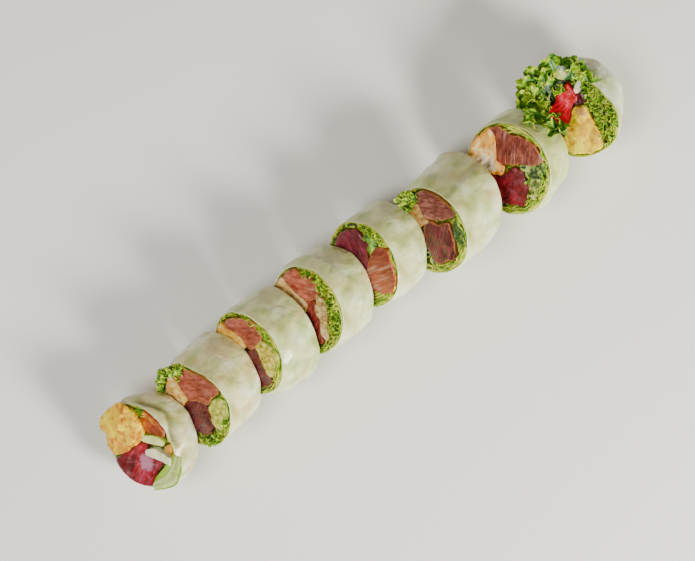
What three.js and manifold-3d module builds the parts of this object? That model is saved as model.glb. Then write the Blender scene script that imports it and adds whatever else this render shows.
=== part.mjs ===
// Sliced sushi roll: a thick roll in a pale sheet, cut into eight slices that lean back on one
// another in a row. Every slice is a ring of sheet round a bed of lettuce, and each filling is a
// solid of its own that runs right through the slice. Millimetres, +Z up, +X along the row.
import * as THREE from "three";
import { mergeVertices } from "three/addons/utils/BufferGeometryUtils.js";
import Module from "manifold-3d";

const wasm = await Module();
wasm.setup();

const SHEET = 1.1; // thickness of the sheet round the roll
const OVERLAP = 0.7; // height of the step where the sheet's end laps over itself
const GAP = 0.3; // air between two pieces that touch
const SINK = 1.2; // depth of the flat that each slice's lowest edge rests on
const AROUND = 25; // facets round a slice
const FILLING_AROUND = 12; // facets round a filling
const LEAF = 1.0; // thickness of a leaf that sticks out
const RIM = 1.4; // least lettuce between a filling and the sheet

const COLOURS = {
  wrapper: ["#dde0c8", 0.45],
  lettuce: ["#7f9f38", 0.5],
  leaf: ["#8db030", 0.5],
  salmon: ["#bb5f45", 0.35],
  tuna: ["#821f30", 0.35],
  prawn: ["#e0b070", 0.4],
  omelette: ["#e8bd48", 0.5],
  avocado: ["#d3d080", 0.5],
  cucumber: ["#c9d890", 0.35],
  radish: ["#e8ead8", 0.35],
  carrot: ["#d98a30", 0.45],
  beet_leaf: ["#4a1420", 0.5],
};

// place: x and y of the cut face's middle. lean: how far the cut face looks up, in degrees.
// turn: about the vertical. width and back: diameters at the cut face and at the far end.
// drift: how far the far end is moved sideways. lap: angle of the sheet's overlap.
// lip: radius of the cut face every 30 degrees from the +Y side over the top, as a share.
// opening: how soon the lip's own shape gives way to the round body behind it.
// bulge: how far the body swells behind the lip every 60 degrees from the +Y side over the top.
// fillings: name, how far it stands out, and its outline in the cut face, across and up.
const SLICES = [
  {
    place: [-140.3, -1.6], lean: 50, turn: -8, width: 46, depth: 16.2, back: 46.4, drift: -0.2, lap: 250,
    lip: [1.0, 0.95, 0.87, 0.84, 0.9, 0.96, 0.98, 0.95, 0.92, 0.89, 0.93, 0.97],
    opening: 3, bulge: [2, 1, 0.4, 1.6, 1, 1.6], frill: 0.8, rim: 0,
    fillings: [
      ["omelette", 2.2, [[22, 0], [19, 6], [12, 7.6], [5, 6.8], [2.4, 2.4], [1.6, -4], [1.2, -11],
        [3.4, -17.6], [9, -17.6], [15, -14.6], [20, -10]]],
      ["radish", 2.2, [[-3.2, 3.6], [-4.4, 8], [-8.3, 11.9], [-13.6, 15.4], [-15.2, 13], [-11, 9],
        [-7, 4.2], [-4.6, 2]]],
      ["cucumber", 1.4, [[4, 4.4], [2.8, 9], [0, 13.4], [-4, 15.4], [-5, 13.6], [-2.4, 9.4],
        [0.6, 5], [2.8, 2.8]]],
      ["tuna", 1.4, [[1.4, 1.6], [-1.5, 4.6], [-4.2, 1.6], [-7, 4], [-11.4, 8.6], [-13.4, 7.6],
        [-15.4, 1], [-19.6, -5.4], [-19, -11.6], [-14, -17.4], [-7.6, -21], [-1, -19.6],
        [0.8, -13], [0.9, -5]]],
      ["salmon", 0.2, [[14.7, 13], [13, 17.4], [7, 18.4], [0.6, 17.8], [-1.6, 15.6], [1.6, 12.6],
        [4.4, 8.4], [9, 7.8], [12.6, 9.6]]],
      ["carrot", 0.8, [[-6, 15.6], [-7.6, 19.4], [-10.4, 20], [-13, 18.2], [-12.2, 16.4],
        [-9.6, 14.8], [-7.4, 13.4]]],
    ],
  },
  {
    place: [-105.6, -2.2], lean: 42, turn: -8, width: 47, depth: 24.7, back: 48, drift: 5, lap: 200,
    lip: [1.01, 0.82, 0.84, 0.915, 0.97, 0.97, 0.97, 0.95, 0.95, 0.96, 0.98, 1.02],
    opening: 2, bulge: [1, 1, 0, -0.6, -0.4, 0], frill: 1.4, rim: 0.7,
    fillings: [
      ["salmon", 0.8, [[18.8, 3.6], [14.6, 9.4], [12.4, 13], [10.2, 17], [6, 19.8], [1, 19.6],
        [0, 16], [-1.4, 11], [-2.6, 8.2], [0.6, 4.6], [2.6, 0.6], [4.4, -3], [11, -4], [16, -1]]],
      ["tuna", 0.6, [[0.2, 4.8], [-3, 6.2], [-8, 4.6], [-14.4, 2.2], [-15.6, -1], [-14.6, -6],
        [-10.4, -10], [-4, -10.6], [1.8, -10.4], [3.2, -6.6], [3, -2]]],
      ["avocado", 0.6, [[-1.8, 15], [-3.6, 19], [-7.6, 21.4], [-11.4, 19.6], [-13, 14.6],
        [-15.6, 10], [-16.4, 6.6], [-12.4, 4.4], [-8, 5.4], [-4, 7.6], [-2.2, 11]]],
      ["prawn", 0.8, [[19.4, -7.6], [17, -5.4], [11, -4.6], [5, -3.8], [3.6, -7], [2, -10.6],
        [4.4, -14], [9, -17.4], [13.4, -16.8], [16, -12.6]]],
    ],
  },
  {
    place: [-69.9, 2.8], lean: 38, turn: -6, width: 46, depth: 24.6, back: 49.2, drift: 0.2, lap: 30,
    lip: [1.0, 0.97, 0.95, 0.99, 1.0, 0.99, 0.98, 0.98, 0.98, 1.0, 1.0, 1.0],
    opening: 1.4, bulge: [0, 0.4, 1.6, 2.6, 1.6, 0.4], frill: 1.2, rim: 0.7,
    fillings: [
      ["salmon", 0.6, [[19.4, -1.6], [18.2, 4.6], [15.8, 10.4], [11.4, 16], [7.6, 15.6],
        [3.6, 15.8], [1.6, 12], [0.6, 6], [1.6, 2.6], [8.4, 1.8], [13, -0.8], [17, -4.8]]],
      ["avocado", 0.6, [[2.2, 13.4], [-2, 17], [-8.6, 19.6], [-12.4, 16.6], [-15.6, 11.6],
        [-16.2, 6.6], [-13, 5], [-6.4, 6.8], [0.2, 8.2], [1.4, 11]]],
      ["tuna", 0.4, [[0.2, 7.4], [-6.2, 6.4], [-12, 4.8], [-19, 4.2], [-20, 0], [-17.6, -6],
        [-12, -10], [-4, -10], [0.6, -5], [0.4, 1.4]]],
      ["prawn", 0.6, [[19.8, -6.4], [17, -5.2], [13.4, -1.6], [8.4, 1.4], [3.4, 1.2], [3.4, -5],
        [8, -11], [13, -14], [17.6, -12]]],
    ],
  },
  {
    place: [-34.0, 1.6], lean: 45, turn: -12, width: 46, depth: 24.4, back: 48, drift: 2.8, lap: 320,
    lip: [1.03, 1.0, 0.96, 0.95, 0.97, 0.99, 1.0, 0.99, 0.98, 0.98, 1.0, 1.01],
    opening: 1.4, bulge: [1, 2.2, 0.4, 0, 0.4, 0], frill: 1.6, rim: 0.5,
    fillings: [
      ["salmon", 0.8, [[22.4, 3], [18.4, 6.4], [15, 10.6], [9, 14], [5.2, 11.4], [3.6, 7.6],
        [5.4, 2.6], [11.6, -1.8], [19.4, -4.8], [21.8, -1.4]]],
      ["tuna", 0.4, [[4.6, 6], [1, 7], [-2, 5], [-6, 5.6], [-12.4, 1.8], [-17.4, 0], [-16, -4.6],
        [-10, -9], [-3, -9.6], [-0.6, -4], [0.6, 1.4], [4.2, 2.8]]],
      ["avocado", 0.8, [[5, 11.2], [0, 13.8], [-4, 12.4], [-11, 7.6], [-16, 6.6], [-17, 3.6],
        [-13, 2.2], [-6.4, 5.9], [-2, 5.6], [1.4, 7.6], [3.8, 9]]],
      ["prawn", 0.6, [[21, -6.2], [17.6, -4.6], [11.6, -2.2], [4.4, 2], [0.8, 0.8], [-0.4, -4.4],
        [2, -9], [9, -12], [16, -13.4], [19.8, -10.6]]],
    ],
  },
  {
    place: [2.7, 1.8], lean: 43, turn: -11, width: 46, depth: 21.9, back: 48.4, drift: 3.8, lap: 215,
    lip: [1.07, 0.99, 0.93, 0.88, 0.9, 0.93, 0.94, 0.96, 0.98, 0.99, 1.02, 1.07],
    opening: 1.4, bulge: [-0.4, 1, 0.6, 0, 0, 0], frill: 1.2, rim: 0.7,
    fillings: [
      ["tuna", 0.8, [[20.4, -2.4], [18.4, 3.6], [16.6, 6.4], [13, 6.8], [9.4, 9], [7.2, 6],
        [0.6, 2.6], [-2, 0.2], [0.2, -4.6], [6, -8.8], [14, -11.8], [18.6, -9.2]]],
      ["salmon", 1.4, [[5.6, 11.6], [3.8, 16.8], [0, 18.4], [-8, 16.2], [-14.4, 15], [-17, 10.4],
        [-16.4, 5], [-13.4, 0.4], [-8, -5.4], [-1.6, -4.6], [-2.4, -0.4], [0.4, 3.8], [3.8, 8]]],
      ["leaf", 1.6, [[14.4, 11.6], [10.4, 13.8], [6.8, 14.4], [6, 11.4], [4.4, 8], [6.6, 7.2],
        [9.2, 9.8], [12.6, 8]]],
    ],
  },
  {
    place: [39.2, -3.9], lean: 43, turn: -11, width: 46, depth: 30.3, back: 49.6, drift: 7, lap: 60,
    lip: [1.0, 0.93, 0.88, 0.91, 0.96, 1.0, 0.98, 0.98, 0.98, 0.98, 1.0, 1.0],
    opening: 1.4, bulge: [0.8, 0.8, 0, 0, 0, 0], frill: 1.2, rim: 0.7,
    fillings: [
      ["salmon", 0.8, [[19.8, 4.4], [17.4, 10], [13, 13.6], [7, 17.4], [3.6, 19.6], [1, 17.6],
        [2.2, 10.4], [4.4, 5], [7.6, 0.2], [13, 0.2], [18.2, 1.6]]],
      ["tuna", 0.8, [[4.2, 2.2], [1.2, 5], [0.2, 9.6], [-1.8, 12.2], [-8, 10.8], [-14.4, 8.4],
        [-17.6, 6.2], [-17, 1], [-15.4, -6], [-7, -7], [0, -5.4], [4, -2.4]]],
      ["cucumber", 0.8, [[-1.6, 19.4], [-5.6, 21.4], [-10.6, 19.6], [-13.2, 16], [-12, 13.4],
        [-8.6, 12], [-4, 13.8], [-1.8, 16]]],
      ["prawn", 0.6, [[15, -0.4], [7.8, -0.6], [4.4, 1.4], [4, -3.4], [4.6, -8], [10, -9.6],
        [14, -6]]],
    ],
  },
  {
    place: [89.4, -2.7], lean: 47, turn: -6, width: 49, depth: 20.9, back: 48, drift: 2.2, lap: 170,
    lip: [1.0, 0.99, 0.98, 0.98, 0.98, 0.98, 0.99, 0.99, 0.98, 0.98, 0.99, 1.0],
    opening: 1.4, bulge: [0, 0, 0.4, 0.4, 0, 0], frill: 1.6, rim: 0.7,
    fillings: [
      ["salmon", 1.2, [[22, 4.4], [19.6, 9], [13.6, 12.4], [10.6, 16], [4, 20.2], [-2, 21.4],
        [-6.2, 19.4], [-4.6, 13.4], [-0.6, 7.4], [1.6, 2.6], [5, -2.2], [8, -1.8], [14, 2.6],
        [18.4, 4]]],
      ["tuna", 1.2, [[-1, 2.2], [-3, 5.4], [-5.8, 6.6], [-12.4, 4.8], [-18, 1.6], [-20, -3],
        [-16.4, -8.4], [-12, -13.6], [-4, -16.4], [2.4, -15.8], [2.6, -10.4], [-0.4, -8],
        [-1.8, -4.2]]],
      ["prawn", 1.0, [[22.2, 0], [21.6, 3.4], [17.4, 3.6], [11.4, -0.2], [5, -3], [1.8, -1.4],
        [-0.6, -4.6], [0.8, -8], [3, -10.4], [2.8, -16], [10, -19.8], [16, -20.2], [20.2, -13],
        [21.8, -6]]],
      ["cucumber", 1.0, [[-6.4, 19.4], [-11, 18.4], [-13, 14], [-11, 10.6], [-9.4, 7], [-5.8, 7.2],
        [-2.6, 6.2], [-1.8, 8], [-4.6, 13]]],
      ["avocado", 0.8, [[-11, 11], [-13.4, 13], [-17, 11], [-19.4, 7], [-19.4, 3.4], [-17, 3],
        [-13, 5.4], [-10.2, 6.8]]],
    ],
  },
  {
    place: [133.3, -1.3], lean: 57, turn: -4, width: 44, depth: 17, back: 46.5, drift: 4.5, lap: 285,
    lip: [0.98, 0.93, 0.88, 0.9, 1.05, 1.13, 1.05, 1.01, 0.94, 0.9, 0.95, 0.98],
    opening: 1.6, bulge: [0, 0, 0, 1.4, 1.8, 0.6], frill: 1.8, rim: 0.7,
    fillings: [
      ["tuna", 2.0, [[15.2, 6], [10, 7], [6.2, 6], [4.4, 2.4], [-2.4, -3.8], [-5.6, -8.6],
        [-2, -12.4], [4, -15.6], [8, -15.4], [9.6, -10], [10.4, -5], [13, -1.6]]],
      ["omelette", 2.4, [[2.6, 4.4], [-0.4, 7.6], [-8, 6.8], [-17, 6.4], [-20.6, 4.4],
        [-20.6, -2], [-17.4, -9], [-12, -13.4], [-7.4, -12.6], [-4.8, -8.2], [-1, -2.2],
        [2.6, 1.6]]],
      ["radish", 1.6, [[13.4, 13.8], [11, 13.8], [8.4, 9.8], [9, 7.4], [11, 7.8], [13, 11]]],
      ["beet_leaf", 1.2, [[9.6, 8], [7, 10.4], [3.6, 11], [1.8, 8.8], [2.6, 6], [4.6, 4],
        [6.6, 6.8]]],
    ],
  },
];

// A sliced cucumber round that lies over the last slice's lip: middle, half sizes, turn.
const ROUND = { slice: 8, at: [19.2, 6.6, -3.4], half: [6.0, 4.2, 1.2], turn: -42 };

// Leaves that stick out of the cut. Roots and tips are across, up and into the slice.
const LEAVES = [
  {
    slice: 1, waves: 3, swell: 0.6, along: 10, out: 2,
    root: [[-11, 16.5, 0.4], [-14.6, 8, 0.2], [-17.6, -2, 0]],
    tip: [[-14.5, 23.5, -2.4], [-25, 11, -2.2], [-22.4, -6, -1.8]],
  },
  {
    slice: 2, waves: 3, swell: 0.6, along: 12, out: 2,
    root: [[16.6, 2.2, -0.6], [18.4, -3.6, -0.6], [18.4, -10, -0.6], [14.4, -15.2, -0.7]],
    tip: [[20.4, 4.4, -2.4], [24.4, -3, -2.5], [24, -12, -2.1], [17.4, -19.6, -1.4]],
  },
  {
    slice: 6, waves: 3, swell: 0.7, along: 12, out: 2,
    root: [[17.2, 0.5, 0.2], [17.0, -4, 0], [15.4, -8, 0.2]],
    tip: [[22.0, 1, -1.8], [23.8, -5, -2.4], [22.0, -11.5, -2.0]],
  },
  {
    slice: 8, waves: 8, swell: 1.6, along: 30, out: 3,
    root: [[11, 17, 0], [18, 12, 0], [19, 4, 0], [15, -4, 0], [11, -9, 0],
      [4, -12.5, 0], [-5, -13.5, 0]],
    middle: [[14, 19.5, -3], [21.5, 16.5, -4], [25.5, 7.5, -5.5], [24.5, -2.5, -8], [19, -8, -13.5],
      [9.5, -5, -19.5], [-4, 0, -18.5]],
    tip: [[15, 21.5, -3], [24, 18.5, -5], [31.4, 10, -8], [31.8, -1, -11], [28, -12, -17.5],
      [14, -14.4, -27.5], [-3, -4.5, -28]],
  },
];

// ---------------------------------------------------------------- small helpers

const rad = THREE.MathUtils.degToRad;

// Eases through evenly spaced values, round and round when loop is true.
function easeThrough(values, t, loop) {
  const n = loop ? values.length : values.length - 1;
  const at = Math.min(Math.max(t, 0), 1) * n;
  const i = Math.min(Math.floor(at), n - 1);
  const f = at - i;
  const pick = (k) => {
    const j = loop ? (k + values.length) % values.length : Math.min(Math.max(k, 0), n);
    return values[j];
  };
  const [p, q, r, s] = [pick(i - 1), pick(i), pick(i + 1), pick(i + 2)];
  return 0.5 * (2 * q + (r - p) * f + (2 * p - 5 * q + 4 * r - s) * f * f
    + (3 * q - p - 3 * r + s) * f * f * f);
}

// Moves every vertex of a geometry and gives back a closed solid.
function solid(geometry, move) {
  const bare = geometry.index ? geometry.toNonIndexed() : geometry.clone();
  const plain = new THREE.BufferGeometry();
  plain.setAttribute("position", bare.getAttribute("position"));
  const position = plain.getAttribute("position");
  const p = new THREE.Vector3();
  for (let i = 0; move && i < position.count; i++) {
    move(p.fromBufferAttribute(position, i));
    position.setXYZ(i, p.x, p.y, p.z);
  }
  const merged = mergeVertices(plain, 1e-4);
  const index = merged.index.array;
  const kept = [];
  for (let i = 0; i < index.length; i += 3) {
    const [a, b, c] = [index[i], index[i + 1], index[i + 2]];
    if (a !== b && b !== c && c !== a) kept.push(a, b, c);
  }
  const make = (triVerts) => new wasm.Manifold(new wasm.Mesh({
    numProp: 3,
    vertProperties: new Float32Array(merged.getAttribute("position").array),
    triVerts: new Uint32Array(triVerts),
  }));
  const made = make(kept);
  if (made.volume() > 0) return made;
  for (let i = 0; i < kept.length; i += 3) [kept[i + 1], kept[i + 2]] = [kept[i + 2], kept[i + 1]];
  return make(kept);
}

// The largest loose piece of a solid, so that no scrap is left by a cut.
function largest(shape) {
  return shape.decompose().reduce((a, b) => (b.volume() > a.volume() ? b : a));
}

function geometryOf(shape) {
  const mesh = shape.getMesh();
  const geometry = new THREE.BufferGeometry();
  geometry.setAttribute("position", new THREE.BufferAttribute(mesh.vertProperties, 3));
  geometry.setIndex(new THREE.BufferAttribute(mesh.triVerts, 1));
  const faceted = geometry.toNonIndexed();
  faceted.computeVertexNormals();
  return faceted;
}

// A body turned about the slice's axis, from a profile of radius and depth.
function turned(profile, facets) {
  const points = profile.map(([r, depth]) => new THREE.Vector2(r, depth));
  return new THREE.LatheGeometry(points, facets);
}

// ---------------------------------------------------------------- one slice

// The slice's own axes: x across, y up the cut face, z into the slice from the cut face.
function frameOf(slice) {
  const [lean, turn] = [rad(slice.lean), rad(slice.turn)];
  const across = new THREE.Vector3(-Math.sin(turn), Math.cos(turn), 0);
  const facing = new THREE.Vector3(
    -Math.cos(lean) * Math.cos(turn), -Math.cos(lean) * Math.sin(turn), Math.sin(lean));
  const up = new THREE.Vector3().crossVectors(across, facing);
  const inward = facing.clone().negate();
  const low = Math.max(
    (slice.back / 2) * Math.cos(lean) + slice.depth * Math.sin(lean),
    (slice.width / 2) * Math.cos(lean));
  const frame = new THREE.Group();
  frame.quaternion.setFromRotationMatrix(new THREE.Matrix4().makeBasis(across, up, inward));
  frame.position.set(slice.place[0], slice.place[1], low - SINK);
  frame.updateMatrixWorld(true);
  return frame;
}

// Outer radius of the sheet: the lip's own shape in front, nearly round at the far end.
function outline(slice, angle, depth) {
  const s = Math.min(Math.max(depth / slice.depth, 0), 1);
  const share = easeThrough(slice.lip, ((angle / (2 * Math.PI)) % 1 + 1) % 1, true);
  const fade = Math.pow(1 - s, slice.opening);
  const belly = 0.012 * Math.sin(Math.PI * s);
  const wobble = 0.008 * Math.sin(3 * angle + slice.place[0]) * s;
  const across = slice.width + (slice.back - slice.width) * s;
  const swell = easeThrough(slice.bulge, ((angle / (2 * Math.PI)) % 1 + 1) % 1, true);
  const rise = Math.pow(Math.min(1, s / 0.3), 0.7) * (1 - 0.4 * s);
  return (across / 2) * (1 + (share - 1) * fade + belly + wobble) + swell * rise;
}

// Where a point given by radius, angle and depth is, with the far end moved sideways.
function put(slice, p, radius, angle, depth) {
  const s = Math.max(depth / slice.depth, 0);
  p.set(radius * Math.cos(angle) + slice.drift * s, radius * Math.sin(angle), depth);
}

function angleOf(p) {
  return Math.atan2(p.z, p.x);
}

// The ring of sheet. Its end laps over itself in a low step at one angle.
function wrapper(slice, grow) {
  const d = slice.depth;
  const [front, mid] = [-grow, d * 0.3];
  const profile = [[2, front], [2, mid], [2, d], [1, d], [1, mid], [1, front], [2, front]];
  return solid(turned(profile, AROUND), (p) => {
    const angle = angleOf(p);
    const outside = Math.hypot(p.x, p.z) > 1.5;
    const past = ((angle - rad(slice.lap)) / (2 * Math.PI) % 1 + 1) % 1;
    const step = OVERLAP * Math.max(0, 1 - past * 5);
    const radius = outline(slice, angle, p.y) + (outside ? step + grow : -SHEET - grow);
    put(slice, p, radius, angle, p.y);
  });
}

// The room inside the sheet, carried on in front of the cut so that fillings can stand out of it.
function bore(slice, clear) {
  const d = slice.depth;
  const profile = [[0, -14], [1, -14], [1, 0], [1, d * 0.3], [1, d], [1, d + 4], [0, d + 4]];
  return solid(turned(profile, AROUND), (p) => {
    const angle = angleOf(p);
    const share = Math.hypot(p.x, p.z);
    put(slice, p, share * (outline(slice, angle, p.y) - SHEET - clear), angle, p.y);
  });
}

// The bed of lettuce, crumpled in front.
function lettuceBed(slice, grow) {
  const d = slice.depth;
  const profile = [[0, 0], [0.86, 0], [1, 0], [1, d * 0.3], [1, d], [0, d]];
  return solid(turned(profile, AROUND), (p) => {
    const angle = angleOf(p);
    const share = Math.hypot(p.x, p.z);
    const crumple = Math.sin(7 * angle + slice.place[0]) + 0.6 * Math.sin(13 * angle + 2);
    const height = 0.5 + 0.5 * Math.tanh(2 * Math.sin(angle) + 1);
    const front = p.y < 0.1 && share > 0.5 && share < 0.95 ? -slice.frill * height * (0.55 + 0.4 * crumple) : 0;
    const radius = share * (outline(slice, angle, p.y) - SHEET - GAP);
    put(slice, p, radius, angle, Math.min(p.y, d - 0.3) + front - grow);
  });
}

// A filling: its outline drawn through the slice, with a softened front edge.
function filling(slice, spec, grow) {
  const [, proud, outlined] = spec;
  const d = slice.depth;
  const end = d - 0.3 + (grow ? 3 : 0);
  const centre = [0, 1].map((k) => outlined.reduce((sum, q) => sum + q[k], 0) / outlined.length);
  const at = (u) => [0, 1].map((k) => easeThrough(outlined.map((q) => q[k]), ((u % 1) + 1) % 1, true));
  const profile = grow ? [[0, -12], [1, -12], [1, 0.8 - proud], [1, end], [0, end]]
    : [[0, -proud], [0.86, -proud], [1, 0.8 - proud], [1, end], [0, end]];
  return solid(turned(profile, FILLING_AROUND), (p) => {
    const u = angleOf(p) / (2 * Math.PI);
    const share = Math.hypot(p.x, p.z);
    const here = at(u);
    const [ahead, behind] = [at(u + 0.03), at(u - 0.03)];
    const [tx, ty] = [ahead[0] - behind[0], ahead[1] - behind[1]];
    const long = Math.hypot(tx, ty) || 1;
    const wide = share * (grow - GAP / 2);
    const x = centre[0] + (here[0] - centre[0]) * share + (wide * ty) / long;
    const y = centre[1] + (here[1] - centre[1]) * share - (wide * tx) / long;
    const spread = 1 + (slice.back / slice.width - 1) * Math.max(p.y / d, 0);
    const side = slice.drift * Math.max(p.y / d, 0);
    p.set(x * spread + side, y * spread, p.y);
  });
}

// A thin wavy leaf between a root line and a tip line, both faces split into triangles alike.
function leaf(spec, slice, thickness) {
  const { along, out } = spec;
  const rows = along + 1;
  const line = (points, k, u) => easeThrough(points.map((q) => q[k]), u, false);
  const positions = [];
  const middle = (i, j) => {
    const [u, v] = [i / along, j / out];
    const wave = Math.sin(2 * Math.PI * spec.waves * u) * spec.swell * Math.pow(v, 1.2);
    const frill = 1 + 0.08 * Math.sin(2 * Math.PI * spec.waves * 1.7 * u + 1) * v;
    const q = [0, 1, 2].map((k) => {
      const [root, tip] = [line(spec.root, k, u), line(spec.tip, k, u)];
      const middle = spec.middle ? line(spec.middle, k, u) : (root + tip) / 2 - (k === 2 ? 1 : 0);
      return root + (easeThrough([root, middle, tip], v, false) - root) * frill;
    });
    q[2] += wave;
    return new THREE.Vector3(...q);
  };
  for (const side of [-0.5, 0.5]) {
    for (let j = 0; j <= out; j++) {
      for (let i = 0; i <= along; i++) {
        const here = middle(i, j);
        const du = middle(Math.min(i + 1, along), j).sub(middle(Math.max(i - 1, 0), j));
        const dv = middle(i, Math.min(j + 1, out)).sub(middle(i, Math.max(j - 1, 0)));
        const normal = du.cross(dv).normalize();
        here.addScaledVector(normal, side * thickness);
        positions.push(here.x, here.y, here.z);
      }
    }
  }
  const count = rows * (out + 1);
  const index = [];
  const quad = (a, b, c, e) => index.push(a, b, c, a, c, e);
  for (let j = 0; j < out; j++) {
    for (let i = 0; i < along; i++) {
      const [a, b, c, e] = [j * rows + i, j * rows + i + 1, (j + 1) * rows + i + 1, (j + 1) * rows + i];
      quad(count + a, count + b, count + c, count + e);
      index.push(a, c, b, a, e, c);
    }
  }
  for (let i = 0; i < along; i++) {
    const top = out * rows + i;
    quad(i, i + 1, count + i + 1, count + i);
    quad(top + 1, top, count + top, count + top + 1);
  }
  for (let j = 0; j < out; j++) {
    const [a, b] = [j * rows, (j + 1) * rows];
    quad(b, a, count + a, count + b);
    quad(a + along, b + along, count + b + along, count + a + along);
  }
  const geometry = new THREE.BufferGeometry();
  geometry.setAttribute("position", new THREE.Float32BufferAttribute(positions, 3));
  geometry.setIndex(index);
  return solid(geometry);
}

// Everything below the ground plane, seen from inside a slice.
function groundFor(frame) {
  const box = new THREE.BoxGeometry(600, 600, 60).translate(0, 0, -30);
  const world = new THREE.Matrix4().makeTranslation(frame.position.x, frame.position.y, 0);
  box.applyMatrix4(world).applyMatrix4(frame.matrixWorld.clone().invert());
  return solid(box);
}

// A lumpy head on the first slice's omelette, which bulges over the lip.
function omeletteHead(slice) {
  const ball = new THREE.SphereGeometry(1, 12, 8);
  const head = solid(ball, (p) => {
    const [x, y, z] = [p.x, p.y, p.z];
    const lump = 1 + 0.09 * Math.sin(4.1 * x + 3.3 * y) + 0.07 * Math.sin(5.3 * y - 3.7 * x + z);
    p.set(14.6 + 11.4 * x * lump, -2.8 + 12 * y * lump, -2.6 + 3.6 * z * lump);
  });
  const ringProfile = [[0, -0.4], [1, -0.4], [1, slice.depth], [0, slice.depth]];
  const below = solid(turned(ringProfile, AROUND), (p) => {
    const [angle, share] = [angleOf(p), Math.hypot(p.x, p.z)];
    put(slice, p, 60 * share, angle, p.y);
  });
  return head.subtract(below);
}

// A thin round of cucumber lying over the lip.
function cucumberRound(spec, grow) {
  const profile = [[0, -1], [0.8, -1], [1, -0.3], [1, 0.3], [0.8, 1], [0, 1]];
  const [cos, sin] = [Math.cos(rad(spec.turn)), Math.sin(rad(spec.turn))];
  return solid(turned(profile, 14), (p) => {
    const half = spec.half.map((size) => size + grow);
    const [x, y, z] = [p.x * half[0], p.z * half[1], p.y * half[2]];
    p.set(spec.at[0] + x * cos - y * sin, spec.at[1] + x * sin + y * cos, spec.at[2] + z);
  });
}

// ---------------------------------------------------------------- the row

const roll = new THREE.Group();

function add(frame, name, kind, shape) {
  const [color, roughness] = COLOURS[kind];
  const material = new THREE.MeshStandardMaterial({ color, roughness, metalness: 0 });
  const mesh = new THREE.Mesh(geometryOf(shape), material);
  mesh.name = name;
  frame.add(mesh);
}

SLICES.forEach((slice, i) => {
  const name = `slice${i + 1}`;
  const frame = frameOf(slice);
  const ground = groundFor(frame);
  const sheet = wrapper(slice, 0);
  add(frame, `${name}_wrapper`, "wrapper", largest(sheet.subtract(ground)));

  const rim = slice.rim ?? RIM;
  const [room, widerRoom] = [bore(slice, rim + GAP), bore(slice, rim)];
  let taken = null;
  for (const spec of slice.fillings) {
    let body = filling(slice, spec, 0).intersect(room);
    if (taken) body = body.subtract(taken);
    body = largest(body);
    if (i === 0 && spec[0] === "omelette") body = body.add(omeletteHead(slice));
    add(frame, `${name}_${spec[0]}`, spec[0], largest(body.subtract(ground)));
    let zone = filling(slice, spec, GAP).intersect(widerRoom);
    if (i === 0 && spec[0] === "omelette") zone = zone.add(omeletteHead(slice));
    taken = taken ? taken.add(zone) : zone;
  }
  const bed = lettuceBed(slice, 0).subtract(taken).subtract(wrapper(slice, 0.15)).subtract(ground);
  add(frame, `${name}_lettuce`, "lettuce", largest(bed));

  for (const spec of LEAVES.filter((one) => one.slice === i + 1)) {
    const near = lettuceBed(slice, GAP).add(wrapper(slice, GAP)).add(taken);
    let blade = leaf(spec, slice, LEAF).subtract(near);
    if (ROUND.slice === i + 1) blade = blade.subtract(cucumberRound(ROUND, GAP));
    add(frame, `${name}_outer_leaf`, "leaf", largest(blade));
  }
  if (ROUND.slice === i + 1) add(frame, `${name}_cucumber`, "cucumber", cucumberRound(ROUND, 0));
  roll.add(frame);
});

// The middle of the row stands over the origin.
roll.updateMatrixWorld(true);
const around = new THREE.Box3().setFromObject(roll, true);
const middle = around.getCenter(new THREE.Vector3());
roll.position.set(-middle.x, -middle.y, 0);

export default roll;
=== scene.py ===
import math

import bpy
import numpy as np
from mathutils import Matrix, Vector


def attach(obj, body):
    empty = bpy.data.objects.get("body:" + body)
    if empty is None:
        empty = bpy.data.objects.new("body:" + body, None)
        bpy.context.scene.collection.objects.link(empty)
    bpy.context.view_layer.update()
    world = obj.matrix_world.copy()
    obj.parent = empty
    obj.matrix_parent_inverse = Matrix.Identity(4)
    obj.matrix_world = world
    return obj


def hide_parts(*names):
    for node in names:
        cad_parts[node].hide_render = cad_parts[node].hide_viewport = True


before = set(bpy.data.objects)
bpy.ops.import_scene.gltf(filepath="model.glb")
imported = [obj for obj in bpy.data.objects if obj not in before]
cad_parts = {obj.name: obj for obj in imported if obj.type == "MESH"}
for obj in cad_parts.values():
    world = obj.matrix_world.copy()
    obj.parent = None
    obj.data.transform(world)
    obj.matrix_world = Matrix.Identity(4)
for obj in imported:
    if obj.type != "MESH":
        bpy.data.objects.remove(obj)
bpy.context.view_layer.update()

MM = 0.001
SHIFT = np.array([-2.838, -1.800, 0.0])  # the row's middle over the origin, mm
SHEET = 1.1  # thickness of the rice sheet, mm
LAP = 0.7  # height of the step where the sheet's end laps over itself, mm
SINK = 1.2  # depth of the flat each slice rests on, mm
FINE = 0.5  # size of the facets of the fillings, mm
ROUND = 22  # radius at which patterns are laid round a slice, mm
CUCUMBER = (22.4, 9.6)  # middle of the half-moon of cucumber over the last slice's lip, mm

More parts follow.
